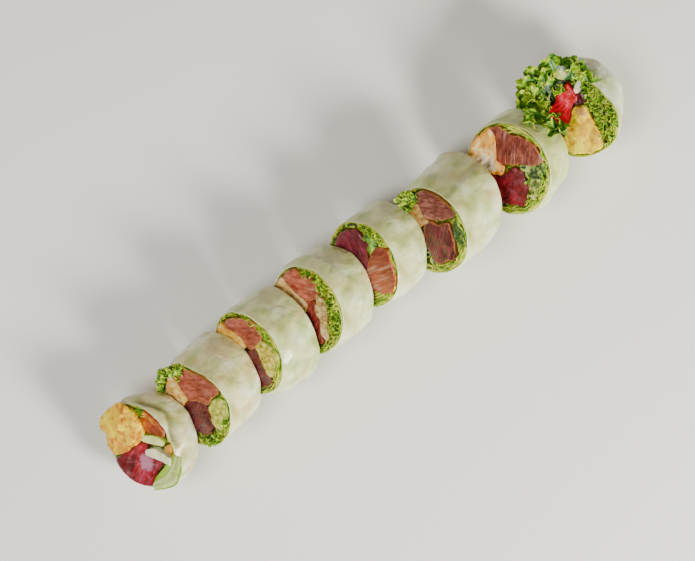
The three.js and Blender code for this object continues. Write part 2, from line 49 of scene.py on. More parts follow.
# middle x and y, lean, turn, width, depth, back, drift, lap angle, how fast the lip opens, the
# lip's radius every 30 degrees as a share of the slice's own, and the swell behind it every 60
SLICES = [
    (-140.3, -1.6, 50, -8, 46, 16.2, 46.4, -0.2, 250, 3,
     (1.0, 0.95, 0.87, 0.84, 0.9, 0.96, 0.98, 0.95, 0.92, 0.89, 0.93, 0.97),
     (2, 1, 0.4, 1.6, 1, 1.6)),
    (-105.6, -2.2, 42, -8, 47, 24.7, 48, 5, 200, 2,
     (1.01, 0.82, 0.84, 0.915, 0.97, 0.97, 0.97, 0.95, 0.95, 0.96, 0.98, 1.02),
     (1, 1, 0, -0.6, -0.4, 0)),
    (-69.9, 2.8, 38, -6, 46, 24.6, 49.2, 0.2, 30, 1.4,
     (1.0, 0.97, 0.95, 0.99, 1.0, 0.99, 0.98, 0.98, 0.98, 1.0, 1.0, 1.0),
     (0, 0.4, 1.6, 2.6, 1.6, 0.4)),
    (-34.0, 1.6, 45, -12, 46, 24.4, 48, 2.8, 320, 1.4,
     (1.03, 1.0, 0.96, 0.95, 0.97, 0.99, 1.0, 0.99, 0.98, 0.98, 1.0, 1.01),
     (1, 2.2, 0.4, 0, 0.4, 0)),
    (2.7, 1.8, 43, -11, 46, 21.9, 48.4, 3.8, 215, 1.4,
     (1.07, 0.99, 0.93, 0.88, 0.9, 0.93, 0.94, 0.96, 0.98, 0.99, 1.02, 1.07),
     (-0.4, 1, 0.6, 0, 0, 0)),
    (39.2, -3.9, 43, -11, 46, 30.3, 49.6, 7, 60, 1.4,
     (1.0, 0.93, 0.88, 0.91, 0.96, 1.0, 0.98, 0.98, 0.98, 0.98, 1.0, 1.0),
     (0.8, 0.8, 0, 0, 0, 0)),
    (89.4, -2.7, 47, -6, 49, 20.9, 48, 2.2, 170, 1.4,
     (1.0, 0.99, 0.98, 0.98, 0.98, 0.98, 0.99, 0.99, 0.98, 0.98, 0.99, 1.0),
     (0, 0, 0.4, 0.4, 0, 0)),
    (133.3, -1.3, 57, -4, 44, 17, 46.5, 4.5, 285, 1.6,
     (0.98, 0.93, 0.88, 0.9, 1.05, 1.13, 1.05, 1.01, 0.94, 0.9, 0.95, 0.98),
     (0, 0, 0, 1.4, 1.8, 0.6)),
]

# Each filling: how far it stands out of the cut, and its outline there, across and up, in mm.
FILLINGS = {
    "slice1_omelette": (2.2, [(22, 0), (19, 6), (12, 7.6), (5, 6.8), (2.4, 2.4), (1.6, -4), (1.2, -11),
        (3.4, -17.6), (9, -17.6), (15, -14.6), (20, -10)]),
    "slice1_radish": (2.2, [(-3.2, 3.6), (-4.4, 8), (-8.3, 11.9), (-13.6, 15.4), (-15.2, 13), (-11, 9),
        (-7, 4.2), (-4.6, 2)]),
    "slice1_cucumber": (1.4, [(4, 4.4), (2.8, 9), (0, 13.4), (-4, 15.4), (-5, 13.6), (-2.4, 9.4), (0.6, 5),
        (2.8, 2.8)]),
    "slice1_tuna": (1.4, [(1.4, 1.6), (-1.5, 4.6), (-4.2, 1.6), (-7, 4), (-11.4, 8.6), (-13.4, 7.6),
        (-15.4, 1), (-19.6, -5.4), (-19, -11.6), (-14, -17.4), (-7.6, -21), (-1, -19.6), (0.8, -13),
        (0.9, -5)]),
    "slice1_salmon": (0.2, [(14.7, 13), (13, 17.4), (7, 18.4), (0.6, 17.8), (-1.6, 15.6), (1.6, 12.6),
        (4.4, 8.4), (9, 7.8), (12.6, 9.6)]),
    "slice1_carrot": (0.8, [(-6, 15.6), (-7.6, 19.4), (-10.4, 20), (-13, 18.2), (-12.2, 16.4),
        (-9.6, 14.8), (-7.4, 13.4)]),
    "slice2_salmon": (0.8, [(18.8, 3.6), (14.6, 9.4), (12.4, 13), (10.2, 17), (6, 19.8), (1, 19.6),
        (0, 16), (-1.4, 11), (-2.6, 8.2), (0.6, 4.6), (2.6, 0.6), (4.4, -3), (11, -4), (16, -1)]),
    "slice2_tuna": (0.6, [(0.2, 4.8), (-3, 6.2), (-8, 4.6), (-14.4, 2.2), (-15.6, -1), (-14.6, -6),
        (-10.4, -10), (-4, -10.6), (1.8, -10.4), (3.2, -6.6), (3, -2)]),
    "slice2_avocado": (0.6, [(-1.8, 15), (-3.6, 19), (-7.6, 21.4), (-11.4, 19.6), (-13, 14.6), (-15.6, 10),
        (-16.4, 6.6), (-12.4, 4.4), (-8, 5.4), (-4, 7.6), (-2.2, 11)]),
    "slice2_prawn": (0.8, [(19.4, -7.6), (17, -5.4), (11, -4.6), (5, -3.8), (3.6, -7), (2, -10.6),
        (4.4, -14), (9, -17.4), (13.4, -16.8), (16, -12.6)]),
    "slice3_salmon": (0.6, [(19.4, -1.6), (18.2, 4.6), (15.8, 10.4), (11.4, 16), (7.6, 15.6), (3.6, 15.8),
        (1.6, 12), (0.6, 6), (1.6, 2.6), (8.4, 1.8), (13, -0.8), (17, -4.8)]),
    "slice3_avocado": (0.6, [(2.2, 13.4), (-2, 17), (-8.6, 19.6), (-12.4, 16.6), (-15.6, 11.6),
        (-16.2, 6.6), (-13, 5), (-6.4, 6.8), (0.2, 8.2), (1.4, 11)]),
    "slice3_tuna": (0.4, [(0.2, 7.4), (-6.2, 6.4), (-12, 4.8), (-19, 4.2), (-20, 0), (-17.6, -6),
        (-12, -10), (-4, -10), (0.6, -5), (0.4, 1.4)]),
    "slice3_prawn": (0.6, [(19.8, -6.4), (17, -5.2), (13.4, -1.6), (8.4, 1.4), (3.4, 1.2), (3.4, -5),
        (8, -11), (13, -14), (17.6, -12)]),
    "slice4_salmon": (0.8, [(22.4, 3), (18.4, 6.4), (15, 10.6), (9, 14), (5.2, 11.4), (3.6, 7.6),
        (5.4, 2.6), (11.6, -1.8), (19.4, -4.8), (21.8, -1.4)]),
    "slice4_tuna": (0.4, [(4.6, 6), (1, 7), (-2, 5), (-6, 5.6), (-12.4, 1.8), (-17.4, 0), (-16, -4.6),
        (-10, -9), (-3, -9.6), (-0.6, -4), (0.6, 1.4), (4.2, 2.8)]),
    "slice4_avocado": (0.8, [(5, 11.2), (0, 13.8), (-4, 12.4), (-11, 7.6), (-16, 6.6), (-17, 3.6),
        (-13, 2.2), (-6.4, 5.9), (-2, 5.6), (1.4, 7.6), (3.8, 9)]),
    "slice4_prawn": (0.6, [(21, -6.2), (17.6, -4.6), (11.6, -2.2), (4.4, 2), (0.8, 0.8), (-0.4, -4.4),
        (2, -9), (9, -12), (16, -13.4), (19.8, -10.6)]),
    "slice5_tuna": (0.8, [(20.4, -2.4), (18.4, 3.6), (16.6, 6.4), (13, 6.8), (9.4, 9), (7.2, 6),
        (0.6, 2.6), (-2, 0.2), (0.2, -4.6), (6, -8.8), (14, -11.8), (18.6, -9.2)]),
    "slice5_salmon": (1.4, [(5.6, 11.6), (3.8, 16.8), (0, 18.4), (-8, 16.2), (-14.4, 15), (-17, 10.4),
        (-16.4, 5), (-13.4, 0.4), (-8, -5.4), (-1.6, -4.6), (-2.4, -0.4), (0.4, 3.8), (3.8, 8)]),
    "slice5_leaf": (1.6, [(14.4, 11.6), (10.4, 13.8), (6.8, 14.4), (6, 11.4), (4.4, 8), (6.6, 7.2),
        (9.2, 9.8), (12.6, 8)]),
    "slice6_salmon": (0.8, [(19.8, 4.4), (17.4, 10), (13, 13.6), (7, 17.4), (3.6, 19.6), (1, 17.6),
        (2.2, 10.4), (4.4, 5), (7.6, 0.2), (13, 0.2), (18.2, 1.6)]),
    "slice6_tuna": (0.8, [(4.2, 2.2), (1.2, 5), (0.2, 9.6), (-1.8, 12.2), (-8, 10.8), (-14.4, 8.4),
        (-17.6, 6.2), (-17, 1), (-15.4, -6), (-7, -7), (0, -5.4), (4, -2.4)]),
    "slice6_cucumber": (0.8, [(-1.6, 19.4), (-5.6, 21.4), (-10.6, 19.6), (-13.2, 16), (-12, 13.4),
        (-8.6, 12), (-4, 13.8), (-1.8, 16)]),
    "slice6_prawn": (0.6, [(15, -0.4), (7.8, -0.6), (4.4, 1.4), (4, -3.4), (4.6, -8), (10, -9.6),
        (14, -6)]),
    "slice7_salmon": (1.2, [(22, 4.4), (19.6, 9), (13.6, 12.4), (10.6, 16), (4, 20.2), (-2, 21.4),
        (-6.2, 19.4), (-4.6, 13.4), (-0.6, 7.4), (1.6, 2.6), (5, -2.2), (8, -1.8), (14, 2.6), (18.4, 4)]),
    "slice7_tuna": (1.2, [(-1, 2.2), (-3, 5.4), (-5.8, 6.6), (-12.4, 4.8), (-18, 1.6), (-20, -3),
        (-16.4, -8.4), (-12, -13.6), (-4, -16.4), (2.4, -15.8), (2.6, -10.4), (-0.4, -8), (-1.8, -4.2)]),
    "slice7_prawn": (1, [(22.2, 0), (21.6, 3.4), (17.4, 3.6), (11.4, -0.2), (5, -3), (1.8, -1.4),
        (-0.6, -4.6), (0.8, -8), (3, -10.4), (2.8, -16), (10, -19.8), (16, -20.2), (20.2, -13),
        (21.8, -6)]),
    "slice7_cucumber": (1, [(-6.4, 19.4), (-11, 18.4), (-13, 14), (-11, 10.6), (-9.4, 7), (-5.8, 7.2),
        (-2.6, 6.2), (-1.8, 8), (-4.6, 13)]),
    "slice7_avocado": (0.8, [(-11, 11), (-13.4, 13), (-17, 11), (-19.4, 7), (-19.4, 3.4), (-17, 3),
        (-13, 5.4), (-10.2, 6.8)]),
    "slice8_tuna": (2, [(15.2, 6), (10, 7), (6.2, 6), (4.4, 2.4), (-2.4, -3.8), (-5.6, -8.6), (-2, -12.4),
        (4, -15.6), (8, -15.4), (9.6, -10), (10.4, -5), (13, -1.6)]),
    "slice8_omelette": (2.4, [(2.6, 4.4), (-0.4, 7.6), (-8, 6.8), (-17, 6.4), (-20.6, 4.4), (-20.6, -2),
        (-17.4, -9), (-12, -13.4), (-7.4, -12.6), (-4.8, -8.2), (-1, -2.2), (2.6, 1.6)]),
    "slice8_radish": (1.6, [(13.4, 13.8), (11, 13.8), (8.4, 9.8), (9, 7.4), (11, 7.8), (13, 11)]),
    "slice8_beet_leaf": (1.2, [(9.6, 8), (7, 10.4), (3.6, 11), (1.8, 8.8), (2.6, 6), (4.6, 4),
        (6.6, 6.8)]),
}

# ------------------------------------------------------------------ shape helpers


def rough(points, size, seed):
    """Smooth lattice noise from -1 to 1 at points in mm, with lumps about size mm across."""
    q = np.asarray(points, float) / size + seed * 17.31
    cell = np.floor(q).astype(np.int64)
    f = q - cell
    f = f * f * (3 - 2 * f)
    total = np.zeros(q.shape[:-1])
    for corner in range(8):
        off = np.array([corner & 1, corner >> 1 & 1, corner >> 2 & 1])
        c = cell + off
        h = (c[..., 0] * 73856093) ^ (c[..., 1] * 19349663) ^ (c[..., 2] * 83492791)
        h = ((h ^ (h >> 13)) * 1274126177) & 0xFFFFFFFF
        h = ((h ^ (h >> 16)) & 0xFFFF) / 32767.5 - 1
        total += np.prod(np.where(off == 1, f, 1 - f), axis=-1) * h
    return total


def ease(values, t, loop):
    """Smooth curve through evenly spaced values, t from 0 to 1."""
    values = np.asarray(values, float)
    n = len(values) if loop else len(values) - 1
    at = np.clip(t, 0, 1) * n
    i = np.minimum(np.floor(at).astype(int), n - 1)
    f = at - i
    pick = (lambda k: values[k % len(values)]) if loop else (lambda k: values[np.clip(k, 0, n)])
    p, q, r, s = pick(i - 1), pick(i), pick(i + 1), pick(i + 2)
    if values.ndim > 1:
        f = f[..., None]
    return 0.5 * (2 * q + (r - p) * f + (2 * p - 5 * q + 4 * r - s) * f ** 2
                  + (3 * q - p - 3 * r + s) * f ** 3)


def closed(corners, count):
    """A smooth closed line of count points through the corners."""
    return ease(corners, np.linspace(0, 1, count, endpoint=False), True)


class Slice:
    """One slice's place and outline. Its own axes are across, up the cut face, and inward."""

    def __init__(self, number, row):
        self.number = number
        (x, y, lean, turn, self.width, self.depth, self.back, self.drift,
         self.lap, self.opening, self.lip, self.bulge) = row
        a, t = math.radians(lean), math.radians(turn)
        across = np.array([-math.sin(t), math.cos(t), 0.0])
        facing = np.array([-math.cos(a) * math.cos(t), -math.cos(a) * math.sin(t), math.sin(a)])
        up = np.cross(across, facing)
        self.axes = np.array([across, up, -facing])
        low = max(self.back / 2 * math.cos(a) + self.depth * math.sin(a),
                  self.width / 2 * math.cos(a))
        self.middle = np.array([x, y, low - SINK]) + SHIFT

    def world(self, local):
        return np.asarray(local) @ self.axes + self.middle

    def outline(self, angle, depth):
        """Radius of the outline at an angle, at a depth behind the cut face, in mm."""
        s = np.clip(depth / self.depth, 0, 1)
        share = ease(self.lip, np.mod(angle / (2 * np.pi), 1), True)
        belly = 0.012 * np.sin(np.pi * s)
        wobble = 0.008 * np.sin(3 * angle + self.middle[0] - SHIFT[0]) * s
        across = self.width + (self.back - self.width) * s
        swell = ease(self.bulge, np.mod(angle / (2 * np.pi), 1), True)
        swell = swell * np.minimum(1, s / 0.3) ** 0.7 * (1 - 0.4 * s)
        return across / 2 * (1 + (share - 1) * (1 - s) ** self.opening + belly + wobble) + swell

    def lip_radius(self, angle):
        """Radius of the outline at the cut face for a single angle."""
        return self.outline(np.array([angle]), np.zeros(1))[0]

    def put(self, radius, angle, depth):
        """Points at a radius, angle and depth, in the slice's own axes."""
        s = np.maximum(depth / self.depth, 0)
        return np.stack([radius * np.cos(angle) + self.drift * s, radius * np.sin(angle),
                         depth + 0 * angle], axis=-1)


SLICE = [None] + [Slice(i + 1, row) for i, row in enumerate(SLICES)]


def outward(points, faces):
    """The faces, all turned round where they would look into the body."""
    total = 0.0
    for size in {len(f) for f in faces}:
        f = np.array([g for g in faces if len(g) == size])
        for k in range(1, size - 1):
            p, q, r = points[f[:, 0]], points[f[:, k]], points[f[:, k + 1]]
            total += np.einsum("ij,ij->", p, np.cross(q, r))
    return faces if total > 0 else [g[::-1] for g in faces]


def build(name, points, faces, one, material, nodes=(), tint=None):
    """Makes a piece from points in mm in a slice's own axes."""
    world = one.world(points)
    world[:, 2] = np.maximum(world[:, 2], 0.0)
    faces = outward(world, [tuple(int(i) for i in f) for f in faces])
    mesh = bpy.data.meshes.new(name)
    mesh.from_pydata((world * MM).tolist(), [], faces)
    mesh.validate()
    place = mesh.attributes.new("place", "FLOAT_VECTOR", "POINT")
    place.data.foreach_set("vector", np.asarray(points, np.float32).ravel())
    made = mesh.attributes.new("tint", "FLOAT", "POINT")
    made.data.foreach_set("value", np.asarray(tint, np.float32).ravel())
    mesh.shade_smooth()
    obj = bpy.data.objects.new(name, mesh)
    bpy.context.scene.collection.objects.link(obj)
    mesh.materials.append(material)
    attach(obj, "root")
    if nodes:
        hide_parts(*nodes)


def grid(nu, nv, loop_u=False, loop_v=False):
    """Quads of a grid of nu by nv points, row by row."""
    i, j = np.meshgrid(np.arange(nu if loop_u else nu - 1), np.arange(nv if loop_v else nv - 1))
    i2, j2 = (i + 1) % nu, (j + 1) % nv
    quads = np.stack([j * nu + i, j * nu + i2, j2 * nu + i2, j2 * nu + i], axis=-1)
    return quads.reshape(-1, 4)


def thick(middle, thickness):
    """A closed thin sheet from a grid of middle points, nv rows of nu."""
    nv, nu = middle.shape[:2]
    du = np.gradient(middle, axis=1)
    dv = np.gradient(middle, axis=0)
    normal = np.cross(du, dv)
    normal /= np.maximum(np.linalg.norm(normal, axis=-1, keepdims=True), 1e-9)
    half = normal * np.asarray(thickness)[..., None] / 2
    points = np.concatenate([(middle + half).reshape(-1, 3), (middle - half).reshape(-1, 3)])
    top = grid(nu, nv)
    count = nu * nv
    faces = [top, top[:, ::-1] + count]
    for line, turned in ((np.arange(nu), True), (np.arange(nu) + (nv - 1) * nu, False),
                         (np.arange(nv) * nu, False), (np.arange(nv) * nu + nu - 1, True)):
        a, b = line[:-1], line[1:]
        edge = np.stack([a, b, b + count, a + count], axis=-1)
        faces.append(edge[:, ::-1] if not turned else edge)
    return points, np.concatenate(faces)


def plug(rows, front, behind):
    """A closed body from rings of points, with a middle point in front and one behind."""
    count, around = rows.shape[:2]
    points = np.concatenate([rows.reshape(-1, 3), [front], [behind]])
    faces = [tuple(f) for f in grid(around, count, True)]
    last = (count - 1) * around
    faces += [(count * around, (k + 1) % around, k) for k in range(around)]
    faces += [(count * around + 1, last + k, last + (k + 1) % around) for k in range(around)]
    return points, faces


def reach(points, line):
    """How far each point is from a closed line in mm, below 0 on its inside."""
    nearest = np.full(len(points), 1e9)
    inside = np.zeros(len(points), bool)
    ends = np.roll(line, -1, axis=0)
    for p, q in zip(line, ends):
        along = q - p
        t = np.clip(((points - p) @ along) / max(along @ along, 1e-9), 0, 1)
        nearest = np.minimum(nearest, np.linalg.norm(points - p - t[:, None] * along, axis=1))
        crosses = (p[1] > points[:, 1]) != (q[1] > points[:, 1])
        x = p[0] + (points[:, 1] - p[1]) / (along[1] if abs(along[1]) > 1e-9 else 1e-9) * along[0]
        inside ^= crosses & (points[:, 0] < x)
    return np.where(inside, -nearest, nearest)


# ------------------------------------------------------------------ materials

OVER = {"data_type": "RGBA"}
TIMES = {"data_type": "RGBA", "blend_type": "MULTIPLY"}


def paint(hex_colour):
    """An sRGB hex colour as linear red, green, blue and alpha."""
    parts = [int(hex_colour[i:i + 2], 16) / 255 for i in (1, 3, 5)]
    return tuple(c / 12.92 if c <= 0.04045 else ((c + 0.055) / 1.055) ** 2.4 for c in parts) + (1,)


class Finish:
    """A material in the making, with the slice's own coordinates in mm and the tint."""

    def __init__(self, name, **surface):
        self.material = bpy.data.materials.new(name)
        self.material.use_nodes = True
        self.tree = self.material.node_tree
        self.shader = self.tree.nodes["Principled BSDF"]
        for key, value in surface.items():
            self.shader.inputs[key.replace("_", " ")].default_value = value
        self.place = self.add("Attribute", {}, "Vector", attribute_name="place")
        self.tint = self.add("Attribute", {}, "Fac", attribute_name="tint")

    def add(self, kind, inputs, out=0, stops=(), **settings):
        """Adds a node with its settings, links and colour stops, and gives one of its outputs."""
        node = self.tree.nodes.new("ShaderNode" + kind)
        for key, value in settings.items():
            setattr(node, key, value)
        for key, value in inputs.items():
            if isinstance(value, bpy.types.NodeSocket):
                self.tree.links.new(value, node.inputs[key])
            else:
                node.inputs[key].default_value = value
        stops = list(stops)
        while stops and len(node.color_ramp.elements) < len(stops):
            node.color_ramp.elements.new(0.5)
        for k, (at, colour) in enumerate(stops):
            node.color_ramp.elements[k].position = at
            node.color_ramp.elements[k].color = paint(colour)
        return node.outputs[out]

    def lumps(self, size, detail=3.0, fade=0.55, stretch=(1, 1, 1), angle=0.0, away=0.0):
        """Noise with lumps about size mm across, drawn out by stretch along axes turned by angle."""
        moved = self.add("Mapping", {
            "Vector": self.place, "Location": (away, away, 0), "Rotation": (0, 0, math.radians(angle)),
            "Scale": stretch}, vector_type="TEXTURE")
        return self.add("TexNoise", {"Vector": moved, "Scale": 1 / size, "Detail": detail,
                                     "Roughness": fade})

    def spotted(self, colour, spots):
        """Lays soft-edged patches over a colour: middle across and up, radius in mm, hex, share."""
        for k, (x, y, radius, patch, share) in enumerate(spots):
            flat = self.add("VectorMath", {0: self.place, 1: (1, 1, 0)}, operation="MULTIPLY")
            far = self.add("VectorMath", {0: flat, 1: (x, y, 0)}, "Value", operation="DISTANCE")
            ragged = self.add("Math", {0: self.lumps(radius * 0.6, away=31.0 * k + x), 1: radius * 1.6,
                                       2: radius * -0.8}, operation="MULTIPLY_ADD")
            shown = self.add("MapRange", {
                "Value": self.add("Math", {0: far, 1: ragged}, operation="ADD"),
                "From Min": radius * 1.15, "From Max": radius * 0.65, "To Max": share})
            colour = self.add("Mix", {0: shown, 6: colour, 7: paint(patch)}, 2, **OVER)
        return colour

    def done(self, colour, height, depth):
        """Gives the surface its colour, and bump from a height whose whole range is depth mm."""
        bump = self.add("Bump", {"Height": height, "Distance": depth * MM, "Strength": 1.0})
        self.tree.links.new(colour, self.shader.inputs["Base Color"])
        self.tree.links.new(bump, self.shader.inputs["Normal"])
        return self.material


def rice_sheet(name, cream, pink=0.45):
    """Moist rice sheet: cream, with the lettuce showing through in soft green clouds and a little of the
    fish in pink ones, painted shade in its creases and hollows read from the tint, and a satin skin that
    shines along its folds."""
    made = Finish(name, Roughness=0.34, IOR=1.42, Subsurface_Weight=0.3, Subsurface_Scale=0.0018,
                  Subsurface_Radius=(1.0, 0.85, 0.45), Coat_Weight=0.5, Coat_Roughness=0.18)
    thickness = made.lumps(12, 1.5, 0.4, (1, 1, 1.6))
    base = made.add("ValToRGB", {0: thickness}, stops=zip((0.34, 0.5, 0.66), cream.split()))
    green = made.add("ValToRGB", {0: made.lumps(8, 2.0, 0.45, away=7.0)},
                     stops=((0.44, "#ffffff"), (0.66, "#b0cc78")))
    blush = made.add("ValToRGB", {0: made.lumps(9, 1.5, 0.4, away=43.0)},
                     stops=((0.54, "#ffffff"), (0.72, "#ecc4a4")))
    # painted shade: where the tint is low, in creases, hollows and the sunk valley, the sheet turns dark
    # olive
    creased = made.add("ValToRGB", {0: made.tint}, stops=((0.0, "#8c8a5c"), (0.5, "#ffffff")))
    for share, cast in ((0.6, green), (pink, blush), (0.9, creased)):
        base = made.add("Mix", {0: share, 6: base, 7: cast}, 2, **TIMES)
    lip = made.add("ValToRGB", {0: made.tint}, stops=((0.6, "#000000"), (1.0, "#ffffff")))
    base = made.add("Mix", {0: lip, 6: base, 7: paint("#d4d89a")}, 2, **OVER)
    return made.done(base, made.lumps(1.8, 4.0), 0.35)


def leaf_skin(name, stops, patch, coat=0.25):
    """Lettuce: painted shade dark in the folds and bright along the curled edges, partly the leaf's own
    paler edge and partly painted light, all read from the tint;
    with a waxy shine, and thin enough to let some light through. Blue-green clouds about 4 mm wide."""
    made = Finish(name, Roughness=0.38, IOR=1.4, Subsurface_Weight=0.2, Subsurface_Scale=0.0012,
                  Subsurface_Radius=(0.5, 1.0, 0.2), Coat_Weight=coat, Coat_Roughness=0.25)
    mottled = made.add("Math", {0: made.lumps(1.6, 4.0), 1: 0.6, 2: -0.3}, operation="MULTIPLY_ADD")
    height = made.add("Math", {0: made.tint, 1: mottled}, operation="ADD")
    along = made.add("ValToRGB", {0: height}, stops=stops)
    clouds = made.add("ValToRGB", {0: made.lumps(4.0, away=11.0)},
                      stops=((0.48, "#ffffff"), (0.62, patch)))
    green = made.add("Mix", {0: 0.8, 6: along, 7: clouds}, 2, **TIMES)
    return made.done(green, made.lumps(0.9), 0.2)


def fish(name, flesh, rim, grain, streak, coat=0.5, rim_wide=1.0, spots=()):
    """Raw fish: wet cut flesh with the grain of its muscle, pale streaks of fat along it and a
    rim that the air has turned. The flesh is four hex colours from dark to light; grain is its
    size in mm, how long it is for its width, and its angle; streak is a colour and a share."""
    made = Finish(name, Roughness=0.32, IOR=1.4, Subsurface_Weight=0.15, Subsurface_Scale=0.0012,
                  Subsurface_Radius=(1.0, 0.3, 0.2), Coat_Weight=coat, Coat_Roughness=0.14,
                  Coat_IOR=1.33)
    size, long, angle = grain
    fibre = made.lumps(size, 5.0, 0.62, (1, long, 3), angle)
    broad = made.lumps(size * 4, 2.0, 0.5, (1, 1.6, 3), angle, 5.0)
    broad = made.add("Math", {0: broad, 1: 0.4}, operation="MULTIPLY")
    muscle = made.add("Math", {0: fibre, 1: 0.6, 2: broad}, operation="MULTIPLY_ADD")
    colour = made.add("ValToRGB", {0: muscle}, stops=zip((0.36, 0.46, 0.54, 0.64), flesh.split()))
    fat = made.lumps(size * 1.1, 3.0, 0.5, (1, long * 1.6, 3), angle, 23.0)
    shown = made.add("MapRange", {"Value": fat, "From Min": 0.57, "From Max": 0.68, "To Max": streak[1]})
    colour = made.add("Mix", {0: shown, 6: colour, 7: paint(streak[0])}, 2, **OVER)
    colour = made.spotted(colour, spots)
    ragged = made.add("Math", {0: made.lumps(2.4), 1: 3.0, 2: -1.5}, operation="MULTIPLY_ADD")
    edge = made.add("MapRange", {
        "Value": made.add("Math", {0: made.tint, 1: ragged}, operation="ADD"),
        "From Min": rim_wide, "From Max": rim_wide * 0.2, "To Max": 0.9})
    colour = made.add("Mix", {0: edge, 6: colour, 7: paint(rim)}, 2, **OVER)
    return made.done(colour, fibre, 0.35)


def mottled_food(name, stops, size, bump, coat, roughness=0.42, skin=None, spots=()):
    """Egg, fruit or root: mottled flesh in lumps of size mm, and a skin where it has one.
    The skin is a colour and how far it comes in from the rim, in mm."""
    made = Finish(name, Roughness=roughness, IOR=1.4, Subsurface_Weight=0.2, Subsurface_Scale=0.0015,
                  Subsurface_Radius=(1.0, 0.8, 0.3), Coat_Weight=coat, Coat_Roughness=0.2)
    flesh = made.add("ValToRGB", {0: made.lumps(size, 4.0, 0.6)}, stops=stops)
    flesh = made.spotted(flesh, spots)
    if skin:
        edge = made.add("MapRange", {"Value": made.tint, "From Min": skin[1], "From Max": skin[1] * 0.4})
        flesh = made.add("Mix", {0: edge, 6: flesh, 7: paint(skin[0])}, 2, **OVER)
    return made.done(flesh, made.lumps(size * 0.4, 4.0), bump)


# the look of each kind of food
LOOK = {
    # the sheet and the lettuce: milky cream; crumpled green, with painted shade in its folds; frilled and
    # brighter, with painted light and shade on its ruffles; and a pale juicy rib with a green edge
    "rice_sheet": rice_sheet("rice_sheet", "#c8c588 #dcdca2 #eeeec8"),
    "lettuce": leaf_skin("lettuce_bed", ((0.05, "#283209"), (0.3, "#526a16"), (0.52, "#9aa828"),
        (0.76, "#d2cc40"), (1.0, "#f2e682")), "#8fbf5c"),
    "curly": leaf_skin("curly_lettuce", ((0.05, "#1a3606"), (0.28, "#47780f"), (0.5, "#86b018"),
        (0.72, "#b8cc26"), (1.0, "#dcdf58")), "#5fae58", 0.12),
    "rib": leaf_skin("lettuce_rib", ((0.1, "#b6c66e"), (0.5, "#ebefaa"), (0.66, "#c4dc5e"), (0.8, "#84b81e"),
        (1.0, "#afd438")), "#ebedb0", 0.4),
    # cut fish and boiled prawn: matt pink-brown, wet dark red, and orange over white
    "salmon": fish("salmon", "#621e13 #8d3925 #a84f38 #cb6b53", "#c08636", (1.8, 2.2, 20), ("#d0917b", 0.25),
        0.5, 0.8),
    "tuna": fish("tuna", "#33050d #510b18 #681422 #862532", "#873d25", (1.2, 4.0, -30), ("#9f4b57", 0.4),
        0.5, 0.7),
    "prawn": fish("prawn", "#c67f22 #e0a74a #edc76f #f7e6a5", "#d78c26", (2.0, 1.6, 20), ("#f7f7ce", 0.6),
        0.4, 0.9),
    # cut plants: soft yellow-green under a green rim, translucent white, orange and near-black red
    "avocado": mottled_food("avocado", ((0.36, "#7e8a18"), (0.46, "#c4c23e"), (0.55, "#e4de58"),
        (0.66, "#f6f0a0")), 2.4, 0.5, 0.4, 0.34, ("#7ea322", 0.8)),
    "radish": mottled_food("radish", ((0.3, "#ede4a7"), (0.6, "#f7f7cc")), 3.0, 0.1, 0.5, 0.3),
    "carrot": mottled_food("carrot", ((0.3, "#c07c10"), (0.6, "#e0a024")), 2.0, 0.15, 0.4),
    "beet_leaf": mottled_food("beet_leaf", ((0.3, "#2c0408"), (0.6, "#5a0c18")), 2.0, 0.3, 0.4),
}
